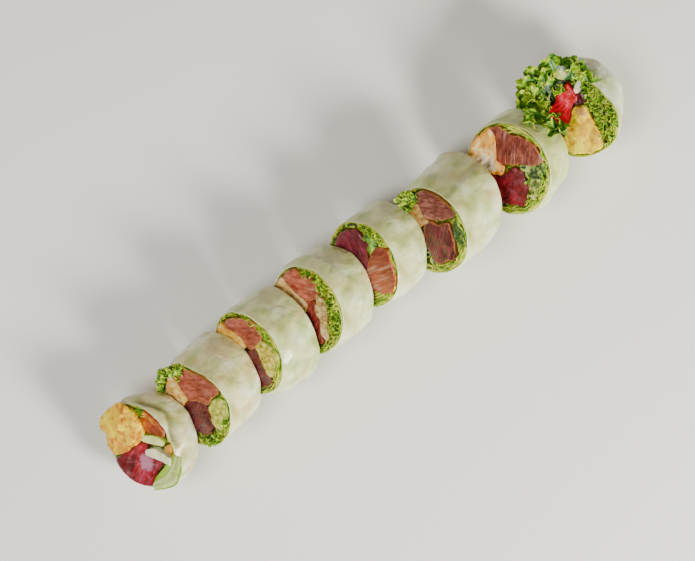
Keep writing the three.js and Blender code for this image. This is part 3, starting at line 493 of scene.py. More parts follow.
# fillings and sheets with colours of their own, where they differ from their kind
OWN = {
    # moist sheets: pink where fish lies under them, cream, green with leaves below, and one painted whiter
    # as painted light where the lamp falls
    "slice1_wrapper": rice_sheet("blushed_rice_sheet", "#d0c48c #dcd4a4 #ecead0", 0.8),
    "slice2_wrapper": rice_sheet("creamy_rice_sheet", "#d4c88e #e2daa4 #f0eaca", 0.7),
    "slice7_wrapper": rice_sheet("greenish_rice_sheet", "#c8c87c #dcde94 #eaeeb2", 0.2),
    # the last slice's sheet is painted whiter, as painted light
    "slice8_wrapper": rice_sheet("pale_rice_sheet", "#eae8b8 #f4f6d0 #fcfce8", 0.2),
    # fried egg rolled up: rich yellow mottled with deep orange, and the smooth pale side of the same
    # on the rolled egg, the orange patches along its edges are painted shade; one patch is brighter yellow
    "slice1_omelette": mottled_food("rolled_omelette", ((0.3, "#b86400"), (0.42, "#e09a00"),
        (0.5, "#fcc800"), (0.6, "#ffdc00"), (0.74, "#fff208")), 3.4, 1.3, 0.1, 0.4, None,
        ((4, -9, 4.5, "#cc7900", 0.6), (8, 5.5, 3, "#cc8a00", 0.5), (20, -6, 4, "#ffe800", 0.6),
        (13, -14, 4, "#eeac00", 0.5))),
    # on the smooth egg, the bright yellow patch at -16, -8 is a painted highlight; the other patches are
    # darker orange
    "slice8_omelette": mottled_food("smooth_omelette", ((0.3, "#ac7400"), (0.44, "#dcaa00"),
        (0.56, "#f8d000"), (0.76, "#ffee00")), 3.4, 0.4, 0.12, 0.4, None, ((-16, -8, 5, "#ffea20", 0.7),
        (0, 5, 2.6, "#985c00", 0.7), (-9, 1, 3.4, "#ce9000", 0.6), (-7, -9, 3, "#e3a500", 0.5))),
    # wet tuna: clear red with a pale glint, plain red, crimson, magenta, brown-red and rosy, each with
    # its fibres in their own direction
    "slice1_tuna": fish("bright_tuna", "#470208 #810513 #a90d26 #d7314b", "#6a0913", (2.2, 2.4, -30),
        ("#db6b85", 0.5), 0.9, 0.4, ((-4, -16, 7, "#5a0911", 0.75), (-16, -9, 5, "#890f22", 0.5),
        (-8.7, -1, 4.6, "#c48aa6", 0.75))),
    "slice8_tuna": fish("red_tuna", "#7c0006 #b0000c #c60018 #e00832", "#8d0315", (4.0, 1.5, 20),
        ("#db295f", 0.15), 0.3, 0.5, ((-3, -12, 4, "#a50319", 0.6),)),
    "slice7_tuna": fish("crimson_tuna", "#420103 #66030c #7d0a19 #9b1e2e", "#731817", (0.8, 7.0, -68),
        ("#a43a4a", 0.5), 0.3, 0.5),
    # its pale magenta streaks are partly fat along the fibres and partly painted highlight
    "slice5_tuna": fish("magenta_tuna", "#3c0814 #5a101e #74182a #8c2840", "#8a4428", (1.0, 5.0, 84),
        ("#b04c68", 0.6), 0.6, 0.6),
    "slice6_tuna": fish("upright_tuna", "#2a0408 #480c12 #67171f #8c2b30", "#a0642c", (0.8, 7.0, -44),
        ("#a85050", 0.6), 0.6, 0.9),
    "slice4_tuna": fish("rosy_tuna", "#5b1311 #7e2420 #99382e #bc5749", "#a85428", (1.4, 3.0, -40),
        ("#cc8070", 0.35), 0.5, 0.7),
    # cut salmon: orange and oily, pale with white fat lines, speckled and brown, streaked, and rosy
    "slice1_salmon": fish("orange_salmon", "#772606 #9f4611 #bd5f1c #db853c", "#893315", (2.0, 2.0, 60),
        ("#dba169", 0.4), 0.5, 0.5, ((2, 14, 4, "#792715", 0.7),)),
    "slice5_salmon": fish("pale_salmon", "#6b1e0b #8a371f #a24e35 #b5664c", "#b55c1a", (1.5, 4.0, 4),
        ("#cea68e", 0.4), 0.6, 0.9, ((-15, 7, 4.5, "#a84818", 0.7), (2, 13, 5, "#7c2c20", 0.6))),
    "slice6_salmon": fish("speckled_salmon", "#4b140f #6c2d25 #85473a #ab6659", "#9d6528", (1.3, 2.0, 20),
        ("#bc8c7b", 0.4), 0.5, 0.8),
    "slice7_salmon": fish("streaked_salmon", "#4a1108 #6c2618 #833a29 #a15845", "#a85f1f", (0.9, 7.0, -46),
        ("#c69f8d", 0.5), 0.6, 0.8),
    "slice4_salmon": fish("rosy_salmon", "#6f2717 #99442d #b55c42 #d87f61", "#c07a38", (1.5, 3.0, 30),
        ("#dca48c", 0.35), 0.5, 0.8),
    # boiled prawn: orange skin over flesh from tan to nearly white
    "slice6_prawn": fish("orange_prawn", "#77410d #9c6622 #ae8140 #c2a36c", "#a16619", (2.0, 1.6, 20),
        ("#cdb88d", 0.5), 0.4, 0.8),
    "slice7_prawn": fish("pale_prawn", "#cf8a2d #ecb14e #fad177 #f3f3ab", "#e2880c", (2.2, 1.6, 20),
        ("#f7edc4", 0.6), 0.5, 2.6, ((8, -9, 5.5, "#f1dbbc", 0.9), (4, -14, 3.5, "#ecd48c", 0.5),
        (17, -2, 5, "#e29010", 0.6))),
    "slice4_prawn": fish("tan_prawn", "#ae7c39 #d5a35a #ebbe74 #f3de99", "#9c6424", (2.0, 1.6, 20),
        ("#e8d0a4", 0.5), 0.4, 0.6),
    "slice3_prawn": fish("yellow_prawn", "#b86c08 #d49418 #e0ac30 #ecc468", "#c87c08", (2.0, 1.6, 20),
        ("#f4dc94", 0.6), 0.4, 0.9),
    # avocado: ripe yellow, stained pink by the fish beside it, and green near its skin
    "slice3_avocado": mottled_food("ripe_avocado", ((0.36, "#8c8414"), (0.46, "#c8b62c"), (0.55, "#e4d24c"),
        (0.66, "#f4ecb0")), 2.2, 0.5, 0.4, 0.34, ("#a3ae2c", 0.6)),
    "slice4_avocado": mottled_food("pink_avocado", ((0.36, "#94683c"), (0.46, "#c49c50"), (0.55, "#dcb880"),
        (0.66, "#e8cca0")), 2.2, 0.3, 0.3, 0.4, ("#b49c48", 0.6)),
    "slice7_avocado": mottled_food("green_avocado", ((0.38, "#14280a"), (0.46, "#5c7818"), (0.54, "#b0b04c"),
        (0.66, "#dcd898")), 2.6, 0.5, 0.4, 0.35),
    # cucumber: watery pale strip, dark glossy skin, skin and flesh mixed, and a slice with its rim
    "slice1_cucumber": mottled_food("cucumber_strip", ((0.3, "#d6db79"), (0.6, "#f7f5a5")), 2.2, 0.15, 0.5,
        0.3, ("#b8c64e", 0.5)),
    "slice6_cucumber": mottled_food("cucumber_skin", ((0.3, "#1c3c0c"), (0.5, "#2e5418"), (0.66, "#7c8c38"),
        (0.8, "#a8a860")), 2.4, 0.2, 0.5, 0.3),
    "slice7_cucumber": mottled_food("cucumber_rind", ((0.38, "#0c2008"), (0.46, "#2c5410"),
        (0.52, "#8aa434"), (0.62, "#d0d080")), 3.0, 0.6, 0.6, 0.28),
    "slice8_cucumber": mottled_food("cucumber_round", ((0.3, "#9cb43c"), (0.5, "#c4cc58"), (0.7, "#e0e08c")),
        2.4, 0.2, 0.6, 0.3, ("#1c5418", 3.6)),
    # one small flat leaf, mid green and matt
    "slice5_leaf": leaf_skin("small_leaf", ((0.05, "#31580b"), (0.35, "#65921d"), (0.6, "#91b734"),
        (1.0, "#c1d466")), "#99c793"),
}

# ------------------------------------------------------------------ the rice sheets

# a fold that sinks the sheet behind its lip: angle and how far behind the cut it runs, in mm
VALLEYS = {1: ((20, 2.4), (42, 3.2), (55, 4.7), (66, 5.5), (79, 4.2), (90, 2.4), (104, 1.6), (116, 2.4))}


def facets(along, depth, round_about, spacing, bend, seed):
    """Taut facets of a wrinkled sheet: shallow dishes about spacing mm wide with ridges between
    them, or with bend below 0 shallow domes with valleys between them. In mm."""
    rng = np.random.default_rng(seed)
    across, rows = max(3, round(round_about / spacing)), max(2, round(32 / spacing) + 1)
    best = None
    for i in range(across):
        for j in range(rows):
            x = (i + rng.uniform(0.1, 0.9) + 0.5 * (j % 2)) * round_about / across
            y = (j + rng.uniform(0.1, 0.9) - 0.5) * spacing
            slope = rng.uniform(-0.09, 0.09, 2)
            dx = np.mod(along - x + round_about / 2, round_about) - round_about / 2
            dy = depth - y
            high = (rng.uniform(-0.15, 0.15) + slope[0] * dx + slope[1] * dy
                    + 0.5 * bend * (dx ** 2 + dy ** 2))
            if best is None:
                best = high
            else:
                best = np.minimum(best, high) if bend > 0 else np.maximum(best, high)
    return best - best.mean()


def rice_sheet_piece(one):
    """The sheet round one slice: creased and faceted, with a thin wavy lip and a low step."""
    around = 200
    depths = np.concatenate([[0.3, 0.8, 1.5, 2.4, 3.4, 4.6],
                             np.linspace(5.8, one.depth - 0.5, 26)])
    rows = [(0.0, d) for d in depths] + [(0.25, one.depth), (0.75, one.depth)]
    rows += [(1.0, d) for d in depths[::-3]]
    rows += [(0.98, 0.4), (0.8, 0.12), (0.5, 0.0), (0.2, 0.1)]
    k, d = np.array(rows).T
    angle = np.arange(around) * 2 * np.pi / around
    a, depth = np.meshgrid(angle, d)
    k = np.repeat(k[:, None], around, axis=1)
    radius = one.outline(a, depth)
    past = np.mod(a - math.radians(one.lap), 2 * np.pi) / (2 * np.pi)
    step = LAP * np.maximum(0, 1 - past * 5) * (past > 0)
    where = np.stack([radius * np.cos(a), radius * np.sin(a), depth], axis=-1)
    seed = one.number
    bent = where + 2.2 * np.stack([rough(where, 7, seed + 60 + j) for j in range(3)], axis=-1)
    fold = 0.7 * rough(where * (1, 1, 0.6), 11, seed) + 0.3 * rough(bent * (1, 1, 0.7), 4.5, seed + 9)
    round_about = 2 * np.pi * ROUND
    swung = np.mod(ROUND * a + 1.2 * rough(where, 6, seed + 70), round_about)
    folded = (1.0 * facets(swung, depth, round_about, 8.5, 0.022, seed + 200)
              + 0.8 * facets(swung, depth + 0.25 * swung, round_about, 7.0, -0.026, seed + 300))
    crease = np.clip(1 - np.abs(rough(bent * (1, 1, 0.7), 11.0, seed + 30)) * 8, 0, 1) ** 1.5
    fine = 0.10 * rough(where, 1.6, seed + 20)
    sunk = 0 * a
    if one.number in VALLEYS:
        turns, run = np.array(VALLEYS[one.number]).T
        degrees = np.degrees(a)
        middle = np.interp(degrees, turns, run)
        ends = np.clip(np.minimum(degrees - turns[0], turns[-1] - degrees) / 12, 0, 1)
        sunk = ends * np.exp(-((depth - middle) / 1.5) ** 2)
    fade = np.clip(depth / 5, 0.15, 1)
    raised = (fold + fine + folded - 0.2 * crease) * fade - 1.9 * sunk
    radius = radius + raised * 0.8 - 0.2
    rim = np.stack([20 * np.cos(a), 20 * np.sin(a), 0 * a], axis=-1)
    flutter = 0.7 * rough(rim, 6.0, seed + 40) + 0.35 * rough(rim, 2.4, seed + 41)
    near = np.exp(-depth / 2.5)
    inner = k * (SHEET * 0.9 - (0.5 + 0.12 * flutter) * near)
    outer = step * (1 - k)
    radius = radius + outer - inner - 0.3 * near * np.abs(flutter)
    points = one.put(radius, a, depth + 0.8 * flutter * near)
    lip = np.exp(-depth / 0.5)
    # painted shade for the material, carried in the tint: darker in the creases, in the sunk valley behind
    # the lip and in the low parts of the facets
    crease_shade = 0.35 * crease * fade + 1.1 * sunk + np.clip(-0.35 * folded, 0, 0.5) * fade
    tint = np.clip(0.5 - 0.45 * crease_shade + 0.5 * lip, 0, 1)
    faces = grid(around, len(rows), True, True)
    node = f"slice{one.number}_wrapper"
    build(f"slice{one.number}_rice_sheet", points.reshape(-1, 3), faces, one,
          OWN.get(node) or LOOK["rice_sheet"], (node,), tint)


# ------------------------------------------------------------------ the fillings

# kind: how the surface is raised, as (lump size, height, stretch across, up and inward), in mm
RELIEF = {
    "salmon": ((5.0, 0.35, (1, 1, 2)), (1.5, 0.16, (0.7, 1.6, 2))),
    "tuna": ((4.4, 0.35, (1, 1, 2)), (1.3, 0.18, (0.5, 2.0, 2))),
    "prawn": ((3.4, 0.45, (1, 1, 2)), (1.4, 0.18, (1, 1, 1))),
    "omelette": ((5.0, 0.55, (1, 1, 1)), (2.0, 0.25, (1, 1, 1))),
    "avocado": ((3.6, 0.50, (1, 1, 2)), (1.4, 0.25, (1, 1, 1))),
    "cucumber": ((3.0, 0.35, (1, 1, 2)), (1.2, 0.15, (1, 1, 1))),
    "radish": ((4.0, 0.25, (1, 1, 1)), (1.2, 0.08, (1, 1, 1))),
    "carrot": ((2.4, 0.30, (1, 1, 1)), (1.0, 0.12, (1, 1, 1))),
    "beet_leaf": ((2.0, 0.60, (1, 1, 1)), (0.9, 0.25, (1, 1, 1))),
    "leaf": ((2.0, 0.80, (1, 1, 2)), (0.9, 0.30, (1, 1, 1))),
}
PRESSED = 0.35  # how far a filling is pressed out into its neighbours, mm


def inside_sheet(one, points, gap):
    """Keeps points within the sheet, gap mm clear of its outer side."""
    s = np.maximum(points[..., 2] / one.depth, 0)
    x, y = points[..., 0] - one.drift * s, points[..., 1]
    r, angle = np.hypot(x, y), np.arctan2(y, x)
    limit = one.outline(angle, points[..., 2]) - gap - 1.3 * np.clip(points[..., 2] / 3 - 0.2, 0, 1)
    held = np.minimum(r, limit)
    points = points.copy()
    points[..., 0] = held * np.cos(angle) + one.drift * s
    points[..., 1] = held * np.sin(angle)
    return points


def filling(node):
    """A filling with a knife-cut face in front, rounded edges and the lumps of its kind."""
    proud, corners = FILLINGS[node]
    number, kind = int(node[5]), node.split("_", 1)[1]
    one = SLICE[number]
    line = closed(corners, 240)
    length = np.linalg.norm(np.roll(line, -1, axis=0) - line, axis=1).sum()
    around = max(40, int(length / FINE))
    line = closed(corners, around)
    middle = np.mean(np.asarray(corners, float), axis=0)
    along = np.roll(line, -1, axis=0) - np.roll(line, 1, axis=0)
    along /= np.linalg.norm(along, axis=1, keepdims=True)
    edge = np.column_stack([line, np.zeros(around)])
    bites = 0.8 if kind == "avocado" else 0.45
    ragged = bites * rough(edge, 2.6, number + 5) + 0.2 * rough(edge, 1.1, number + 6)
    line = line + (PRESSED + ragged)[:, None] * np.stack([along[:, 1], -along[:, 0]], axis=1)
    wide = np.linalg.norm(line - middle, axis=1).mean()
    corner = min(0.4, wide * 0.25)
    rows, rims = [], []
    for share in np.linspace(0.1, 1.0, max(8, int(wide / FINE))) ** 0.9:
        ring = middle + (line - middle) * share
        rim = np.maximum(-reach(ring, line), 0)
        round_off = corner * (1 - np.sqrt(np.clip(1 - (1 - np.minimum(rim / corner, 1)) ** 2, 0, 1)))
        bulge = 0.25 * (1 - np.clip(rim / 5, 0, 1)) ** 2
        rows.append(np.column_stack([ring, -proud + round_off + bulge - 0.25]))
        rims.append(rim)
    first = -proud + corner + 0.3
    for depth in np.concatenate([[first], np.linspace(first + 1.2, one.depth - 0.8, 5)]):
        rows.append(np.column_stack([line, np.full(around, depth)]))
        rims.append(np.zeros(around))
    for share in (0.94, 0.7, 0.35):
        ring = middle + (line - middle) * share
        rows.append(np.column_stack([ring, np.full(around, one.depth - 0.35)]))
        rims.append(np.maximum(-reach(ring, line), 0))
    rows = np.array(rows)
    raised = np.zeros(rows.shape[:2])
    for k, (lump, height, stretch) in enumerate(RELIEF[kind]):
        raised += height * rough(rows / np.array(stretch), lump, number * 3 + k)
    s = np.maximum(rows[..., 2] / one.depth, 0)
    side = rows[..., 2] > first
    spread = 1 + (one.back / one.width - 1) * s
    rows[..., :2] *= spread[..., None]
    rows[..., 0] += one.drift * s
    ends = np.where(rows[..., 2] > one.depth - 0.5, -0.5, 1.0)
    rows[..., 2] -= np.where(side & (rows[..., 2] < one.depth - 0.5), 0.0, raised * ends)
    rows = inside_sheet(one, rows, SHEET + 0.25)
    front = np.append(rows[0, :, :2].mean(0), rows[0, :, 2].mean())
    behind = np.append(rows[-1, :, :2].mean(0), rows[-1, :, 2].mean())
    points, faces = plug(rows, front, behind)
    tint = np.concatenate([np.ravel(rims), [wide, wide]])
    # a small leaf is coloured by its own relief instead: a painted highlight on its lumps and painted shade
    # in its dips
    if kind == "leaf":
        tint = 0.45 + 0.9 * np.concatenate([raised.ravel(), [0, 0]])
    build(node + "_soft", points, faces, one, OWN.get(node) or LOOK[kind], (node,), tint)


EGG_MIDDLE = np.array([14.2, -3.0, -2.9])  # the block of egg across, up and inward, mm
EGG_HALF = np.array([10.4, 11.6, 3.3])  # half its size, mm
EGG_TURN = math.radians(-12)


def omelette_head():
    """The lumpy block of egg that bulges over the first slice's lip, in one with its filling."""
    rings, around = 44, 92
    v = np.linspace(0.02, 0.98, rings)[:, None] * np.pi
    u = np.linspace(0, 2 * np.pi, around, endpoint=False)[None, :]

    def square(value, power):
        return np.sign(value) * np.abs(value) ** power

    x = np.sin(v) * square(np.cos(u), 0.72)
    y = np.sin(v) * square(np.sin(u), 0.72)
    z = -square(np.cos(v), 0.8) + 0 * u
    shape = np.stack([x, y, z], axis=-1)
    flat = shape[..., 0] * math.cos(EGG_TURN) - shape[..., 1] * math.sin(EGG_TURN)
    tall = shape[..., 0] * math.sin(EGG_TURN) + shape[..., 1] * math.cos(EGG_TURN)
    ball = EGG_MIDDLE + EGG_HALF * np.stack([flat, tall, shape[..., 2]], axis=-1)
    lump = 1.2 * rough(ball, 5.0, 4) + 0.7 * rough(ball, 2.6, 5) + 0.2 * rough(ball, 1.2, 6)
    ball = ball + shape * lump[..., None]
    ball[..., 2] = np.minimum(ball[..., 2], 0.6)
    points, faces = plug(ball, ball[0].mean(0), ball[-1].mean(0))
    tint = np.full(len(points), 5.0)
    build("slice1_egg_block", points, faces, SLICE[1], OWN["slice1_omelette"], (), tint)


def cucumber_slice():
    """The half-moon of cucumber that lies over the last slice's lip, its skin to the upper right."""
    corners = [(26, 2.4), (26.2, 6.8), (24.2, 11), (20.6, 13.4), (17, 12.6), (16.4, 9.4),
               (19, 5.4), (22.6, 3)]
    skin = ease(corners[1:6], np.linspace(0, 1, 40), False)
    around = 90
    line = closed(corners, around)
    middle = line.mean(0)
    rows = []
    profile = ((0.2, -4.7), (0.45, -4.72), (0.6, -4.71), (0.72, -4.7), (0.84, -4.66), (0.92, -4.5),
               (0.97, -4.3), (1, -3.9), (1, -3.2), (1, -2.7), (0.94, -2.4), (0.6, -2.3), (0.3, -2.3))
    for share, depth in profile:
        ring = middle + (line - middle) * share
        rows.append(np.column_stack([ring, np.full(around, depth)]))
    rows = np.array(rows)
    rows[..., 2] += 0.3 * rough(rows, 3.0, 8)
    points, faces = plug(rows, rows[0].mean(0), rows[-1].mean(0))
    from_skin = np.linalg.norm(points[:, None, :2] - skin[None], axis=-1).min(axis=1)
    build("slice8_cucumber_round", points, faces, SLICE[8], OWN["slice8_cucumber"],
          ("slice8_cucumber",), from_skin)


# ------------------------------------------------------------------ lettuce

# where smooth leaves lie in streaks along the rim instead of crumpling: first and last angle
SMOOTH = {3: (95, 215), 5: (130, 215), 6: (75, 215), 7: (5, 225)}
# how high the crumpled lettuce of each slice stands, mm
FRILL = {1: 0.8, 2: 1.4, 3: 1.2, 4: 1.6, 5: 1.2, 6: 1.2, 7: 1.4, 8: 1.8}


def lettuce_bed(one):
    """The lettuce that fills what the fillings leave: crumpled, and sunk where it is pinched."""
    rings, around = ((44, 230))
    share = np.linspace(0.04, 1.0, rings)[:, None]
    angle = np.linspace(0, 2 * np.pi, around, endpoint=False)[None, :]
    clear = SHEET * (0.8 if one.number in VALLEYS else 0.55)
    r = share * (one.outline(angle, 0 * angle) - clear)
    flat = np.stack([r * np.cos(angle), r * np.sin(angle)], axis=-1).reshape(-1, 2)
    near = np.full(len(flat), 99.0)
    for node, (_, corners) in FILLINGS.items():
        if int(node[5]) == one.number:
            near = np.minimum(near, reach(flat, closed(corners, 70)))
    heap = np.clip((near - 0.1) / 2.0, 0, 1).reshape(rings, around)
    heap = heap * heap * (3 - 2 * heap)
    flat3 = np.column_stack([flat, np.zeros(len(flat))])
    bent = flat3 + 1.3 * np.column_stack([rough(flat3, 2.8, one.number + 70),
                                          rough(flat3, 2.8, one.number + 80), 0 * near])
    wander = rough(bent, 5.0, one.number + 90) + 0.25 * rough(flat3, 2.0, one.number + 95)
    crest = 0.28 + 0.66 * np.cos(2 * np.pi * 2.4 * wander) - 0.3 * np.abs(rough(flat3, 1.6, 97))
    crest = np.clip(crest, 0, 1).reshape(rings, around)
    if one.number in SMOOTH:
        first, last = SMOOTH[one.number]
        turn = np.mod(np.degrees(angle) - first, 360) / (last - first)
        calm = np.clip(6 * np.minimum(turn, 1 - turn), 0, 1)
        wave = 0.5 + 0.5 * np.sin(2 * np.pi * (r / 1.5) + 2.5 * rough(flat3 * (0.3, 0.3, 1), 3.0, 3)
                                  .reshape(rings, around))
        crest = crest * (1 - calm) + calm * (0.25 + 0.75 * wave)
    edge = np.clip((share - 0.95) / 0.03, 0, 1)
    crest = crest * (1 - edge) + 0.6 * edge
    tall = 0.55 + 0.45 * np.sin(angle)
    depth = 1.3 - heap * (0.9 + FRILL[one.number] * (0.3 + 0.7 * tall) * crest)
    rows = [one.put(r[k], angle[0], depth[k]) for k in range(rings)]
    # the tint paints shade and light: dark low in the folds and where the lettuce sinks beside the fillings,
    # bright on the crests
    tint = [0.12 + 0.88 * crest[k] * (0.35 + 0.65 * heap[k]) for k in range(rings)]
    for d in np.concatenate([[2.4], np.linspace(4, one.depth - 0.9, 3)]):
        rows.append(one.put(one.outline(angle[0], d + 0 * angle[0]) - SHEET - 1.2, angle[0], d))
        tint.append(np.full(around, 0.4))
    for k in (0.85, 0.6, 0.35, 0.1):
        wide = one.outline(angle[0], one.depth + 0 * angle[0]) - SHEET - 1.2
        rows.append(one.put(k * wide, angle[0], one.depth - 0.7 + 0 * angle[0]))
        tint.append(np.full(around, 0.35))
    rows = np.array(rows)
    points, faces = plug(rows, rows[0].mean(0), rows[-1].mean(0))
    tint = np.concatenate([np.ravel(tint), [0.2, 0.3]])
    build(f"slice{one.number}_lettuce_bed", points, faces, one, LOOK["lettuce"],
          (f"slice{one.number}_lettuce",), tint)


def unit(v):
    """The direction of a vector."""
    return v / max(np.linalg.norm(v), 1e-9)


def curl(rng, root, growing, facing, size):
    """One curly end of a leaf, a fan with lobes and ruffles: points, faces and tints."""
    wide, tall = (68, 7) if size > 5 else (42, 5)
    growing = unit(growing)
    facing = unit(facing - growing * (facing @ growing))
    aside = np.cross(facing, growing)
    u = np.linspace(-1, 1, wide)[None, :]
    t = np.linspace(0.1, 1, tall)[:, None]
    a, b, _, d, e = rng.uniform(0, 2 * np.pi, 5)
    spread = math.radians(rng.uniform(60, 88))
    lobes = rng.uniform(2.5, 3.4)
    notch = np.abs(np.cos(lobes * np.pi * u + a)) ** 0.45
    lobed = size * (0.70 + 0.24 * notch + 0.12 * np.cos(2.3 * np.pi * u + b)) * (1 - 0.2 * u ** 2)
    theta = u * spread + 0.06 * t ** 2 * np.cos(3.1 * np.pi * u + d)
    ruffle = (0.17 * t ** 1.5 * np.sin(2.1 * np.pi * u + d)
              + 0.05 * t ** 2.4 * np.sin(5.3 * np.pi * u + e))
    cup = rng.uniform(-0.05, 0.35)
    high = size * (ruffle + cup * t ** 2)
    out = lobed * t
    sheet = (root + out[..., None] * (np.cos(theta)[..., None] * growing + np.sin(theta)[..., None] * aside)
             + high[..., None] * facing)
    p, f = thick(sheet, 0.42 - 0.14 * np.repeat(t, wide, axis=1))
    # the tint paints light and shade: brighter towards the fan's edge, partly its own paler frill and partly
    # painted light, a painted highlight where the ruffle rises towards its face and painted shade where it
    # falls, and a random tone for each curl
    shade = 0.24 + 0.42 * t + 1.3 * ruffle + 0.12 * t ** 4 * notch + rng.uniform(-0.24, 0.16)
    return p, f, np.tile(np.clip(shade, 0, 1).ravel(), 2)


def gathered(parts):
    """Several points, faces and tints as one."""
    points, faces, tints, count = [], [], [], 0
    for p, f, t in parts:
        points.append(p)
        faces.append(np.asarray(f) + count)
        tints.append(t)
        count += len(p)
    return np.concatenate(points), np.concatenate(faces), np.concatenate(tints)


# stretches of curls inside the lip: slice, first and last angle, share of the outline, how far they
# stand out, size of a curl, how far they lean outwards, rows one inside the other and their spacing
CURLS = [
    (2, -66, 16, 0.86, 0.2, 3.8, 0.7, 3, 2.4),
    (2, 118, 205, 0.92, 0.7, 2.8, 0.2, 2, 2.2),
    (4, 26, 156, 0.90, 0.9, 2.8, 0.1, 3, 2.1),
    (5, 40, 72, 0.88, 0.8, 3.0, 0.1, 2, 2.2),
    (5, 150, 196, 0.93, 0.0, 2.6, 0.3, 1, 2.0),
    (6, -44, 2, 0.84, 0.2, 3.6, 0.6, 3, 2.4),
    (7, 130, 196, 0.88, 0.0, 2.4, 0.1, 1, 2.0),
    (7, 126, 184, 0.82, 1.2, 3.6, 0.2, 4, 2.4),
    (8, 62, 166, 0.90, 1.2, 3.4, 0.0, 5, 2.4),
    (8, 20, 62, 0.86, 1.4, 4.2, 0.5, 3, 3.0),
    (8, -112, -50, 0.84, 0.5, 3.8, 0.5, 3, 2.6),
    (8, -66, 18, 0.76, 2.2, 4.8, -0.9, 1, 2.0),
]


def by_cucumber(number, spot, room):
    """Whether a spot is within room mm of the middle of the last slice's cucumber."""
    return number == 8 and math.hypot(spot[0] - CUCUMBER[0], spot[1] - CUCUMBER[1]) < room


def covers(number, spot):
    """Whether a curl at this spot would hide one of the slice's fillings."""
    for node, (_, corners) in FILLINGS.items():
        if int(node[5]) == number and reach(spot[None, :2], closed(corners, 60))[0] < -0.2:
            return True
    return by_cucumber(number, spot, 6.6)


def curls(index, row):
    """Curly lettuce in a stretch of the rim."""
    number, first, last, share, out, size, flare, count, spacing = row
    one = SLICE[number]
    rng = np.random.default_rng(300 + index)
    parts = []
    for k in range(count):
        base = one.lip_radius(math.radians((first + last) / 2)) * share - spacing * k
        steps = max(2, int(math.radians(last - first) * base / (size * 0.62)))
        for i in range(steps):
            angle = math.radians(first + (last - first) * (i + rng.uniform(0.1, 0.9)) / steps)
            r = one.lip_radius(angle) * share - spacing * k + rng.uniform(-0.4, 0.4)
            radial = np.array([math.cos(angle), math.sin(angle), 0])
            around = np.array([-math.sin(angle), math.cos(angle), 0])
            lift = rng.uniform(0.35, 1.0)
            growing = radial * (flare + rng.uniform(-0.5, 0.5)) + around * rng.uniform(-0.8, 0.8)
            growing = growing + np.array([0, 0, -lift])
            facing = (np.array([0, 0, -1.0]) + radial * rng.uniform(-0.9, 0.5)
                      + around * rng.uniform(-0.5, 0.5))
            root = np.array([r * math.cos(angle), r * math.sin(angle), 1.2 - out])
            if out < 2 and covers(number, root + 0.4 * size * unit(growing)):
                continue
            parts.append(curl(rng, root, growing, facing, size * rng.uniform(0.75, 1.15)))
    points, faces, tint = gathered(parts)
    r, angle = np.hypot(points[:, 0], points[:, 1]), np.arctan2(points[:, 1], points[:, 0])
    limit = one.outline(angle, 0 * angle) - SHEET + (0.4 + 3 * flare) * np.clip(-points[:, 2] - 0.5, 0, 1.2)
    r = np.minimum(r, limit)
    points[:, 0], points[:, 1] = r * np.cos(angle), r * np.sin(angle)
    points[:, 2] = np.maximum(points[:, 2], -out - 2.4)
    build(f"slice{number}_curls_{index + 1}", points, faces, one, LOOK["curly"], (), tint)


# folded leaf edges that run along the lip: slice, first and last angle, share of the outline, how
# far they stand out, how far they lean outwards, wave length, wave height, number of leaves
RIBBONS = [
    (1, 20, 66, 0.88, 0.6, 0.0, 5.0, 0.5, 2),
    (3, 94, 200, 0.93, 1.0, 0.0, 9.0, 0.4, 2),
    (3, 32, 102, 0.91, 1.2, 0.1, 5.0, 0.7, 2),
    (3, -24, 22, 0.94, 1.2, 0.3, 5.0, 0.6, 1),
    (4, 160, 200, 0.92, 1.2, 0.0, 5.0, 0.6, 2),
    (5, 20, 78, 0.92, 1.2, 0.0, 4.5, 0.7, 2),
    (5, 84, 206, 0.94, 1.0, 0.0, 9.0, 0.5, 2),
    (6, 72, 130, 0.96, 1.8, 0.8, 7.0, 0.6, 2),
    (6, 128, 206, 0.94, 1.3, 0.2, 8.0, 0.5, 2),
    (7, 6, 84, 0.95, 1.0, 0.0, 9.0, 0.5, 3),
    (7, 80, 222, 0.94, 1.4, 0.1, 8.0, 0.6, 3),
    (8, 60, 168, 0.93, 1.6, 0.0, 4.6, 0.9, 2),
]


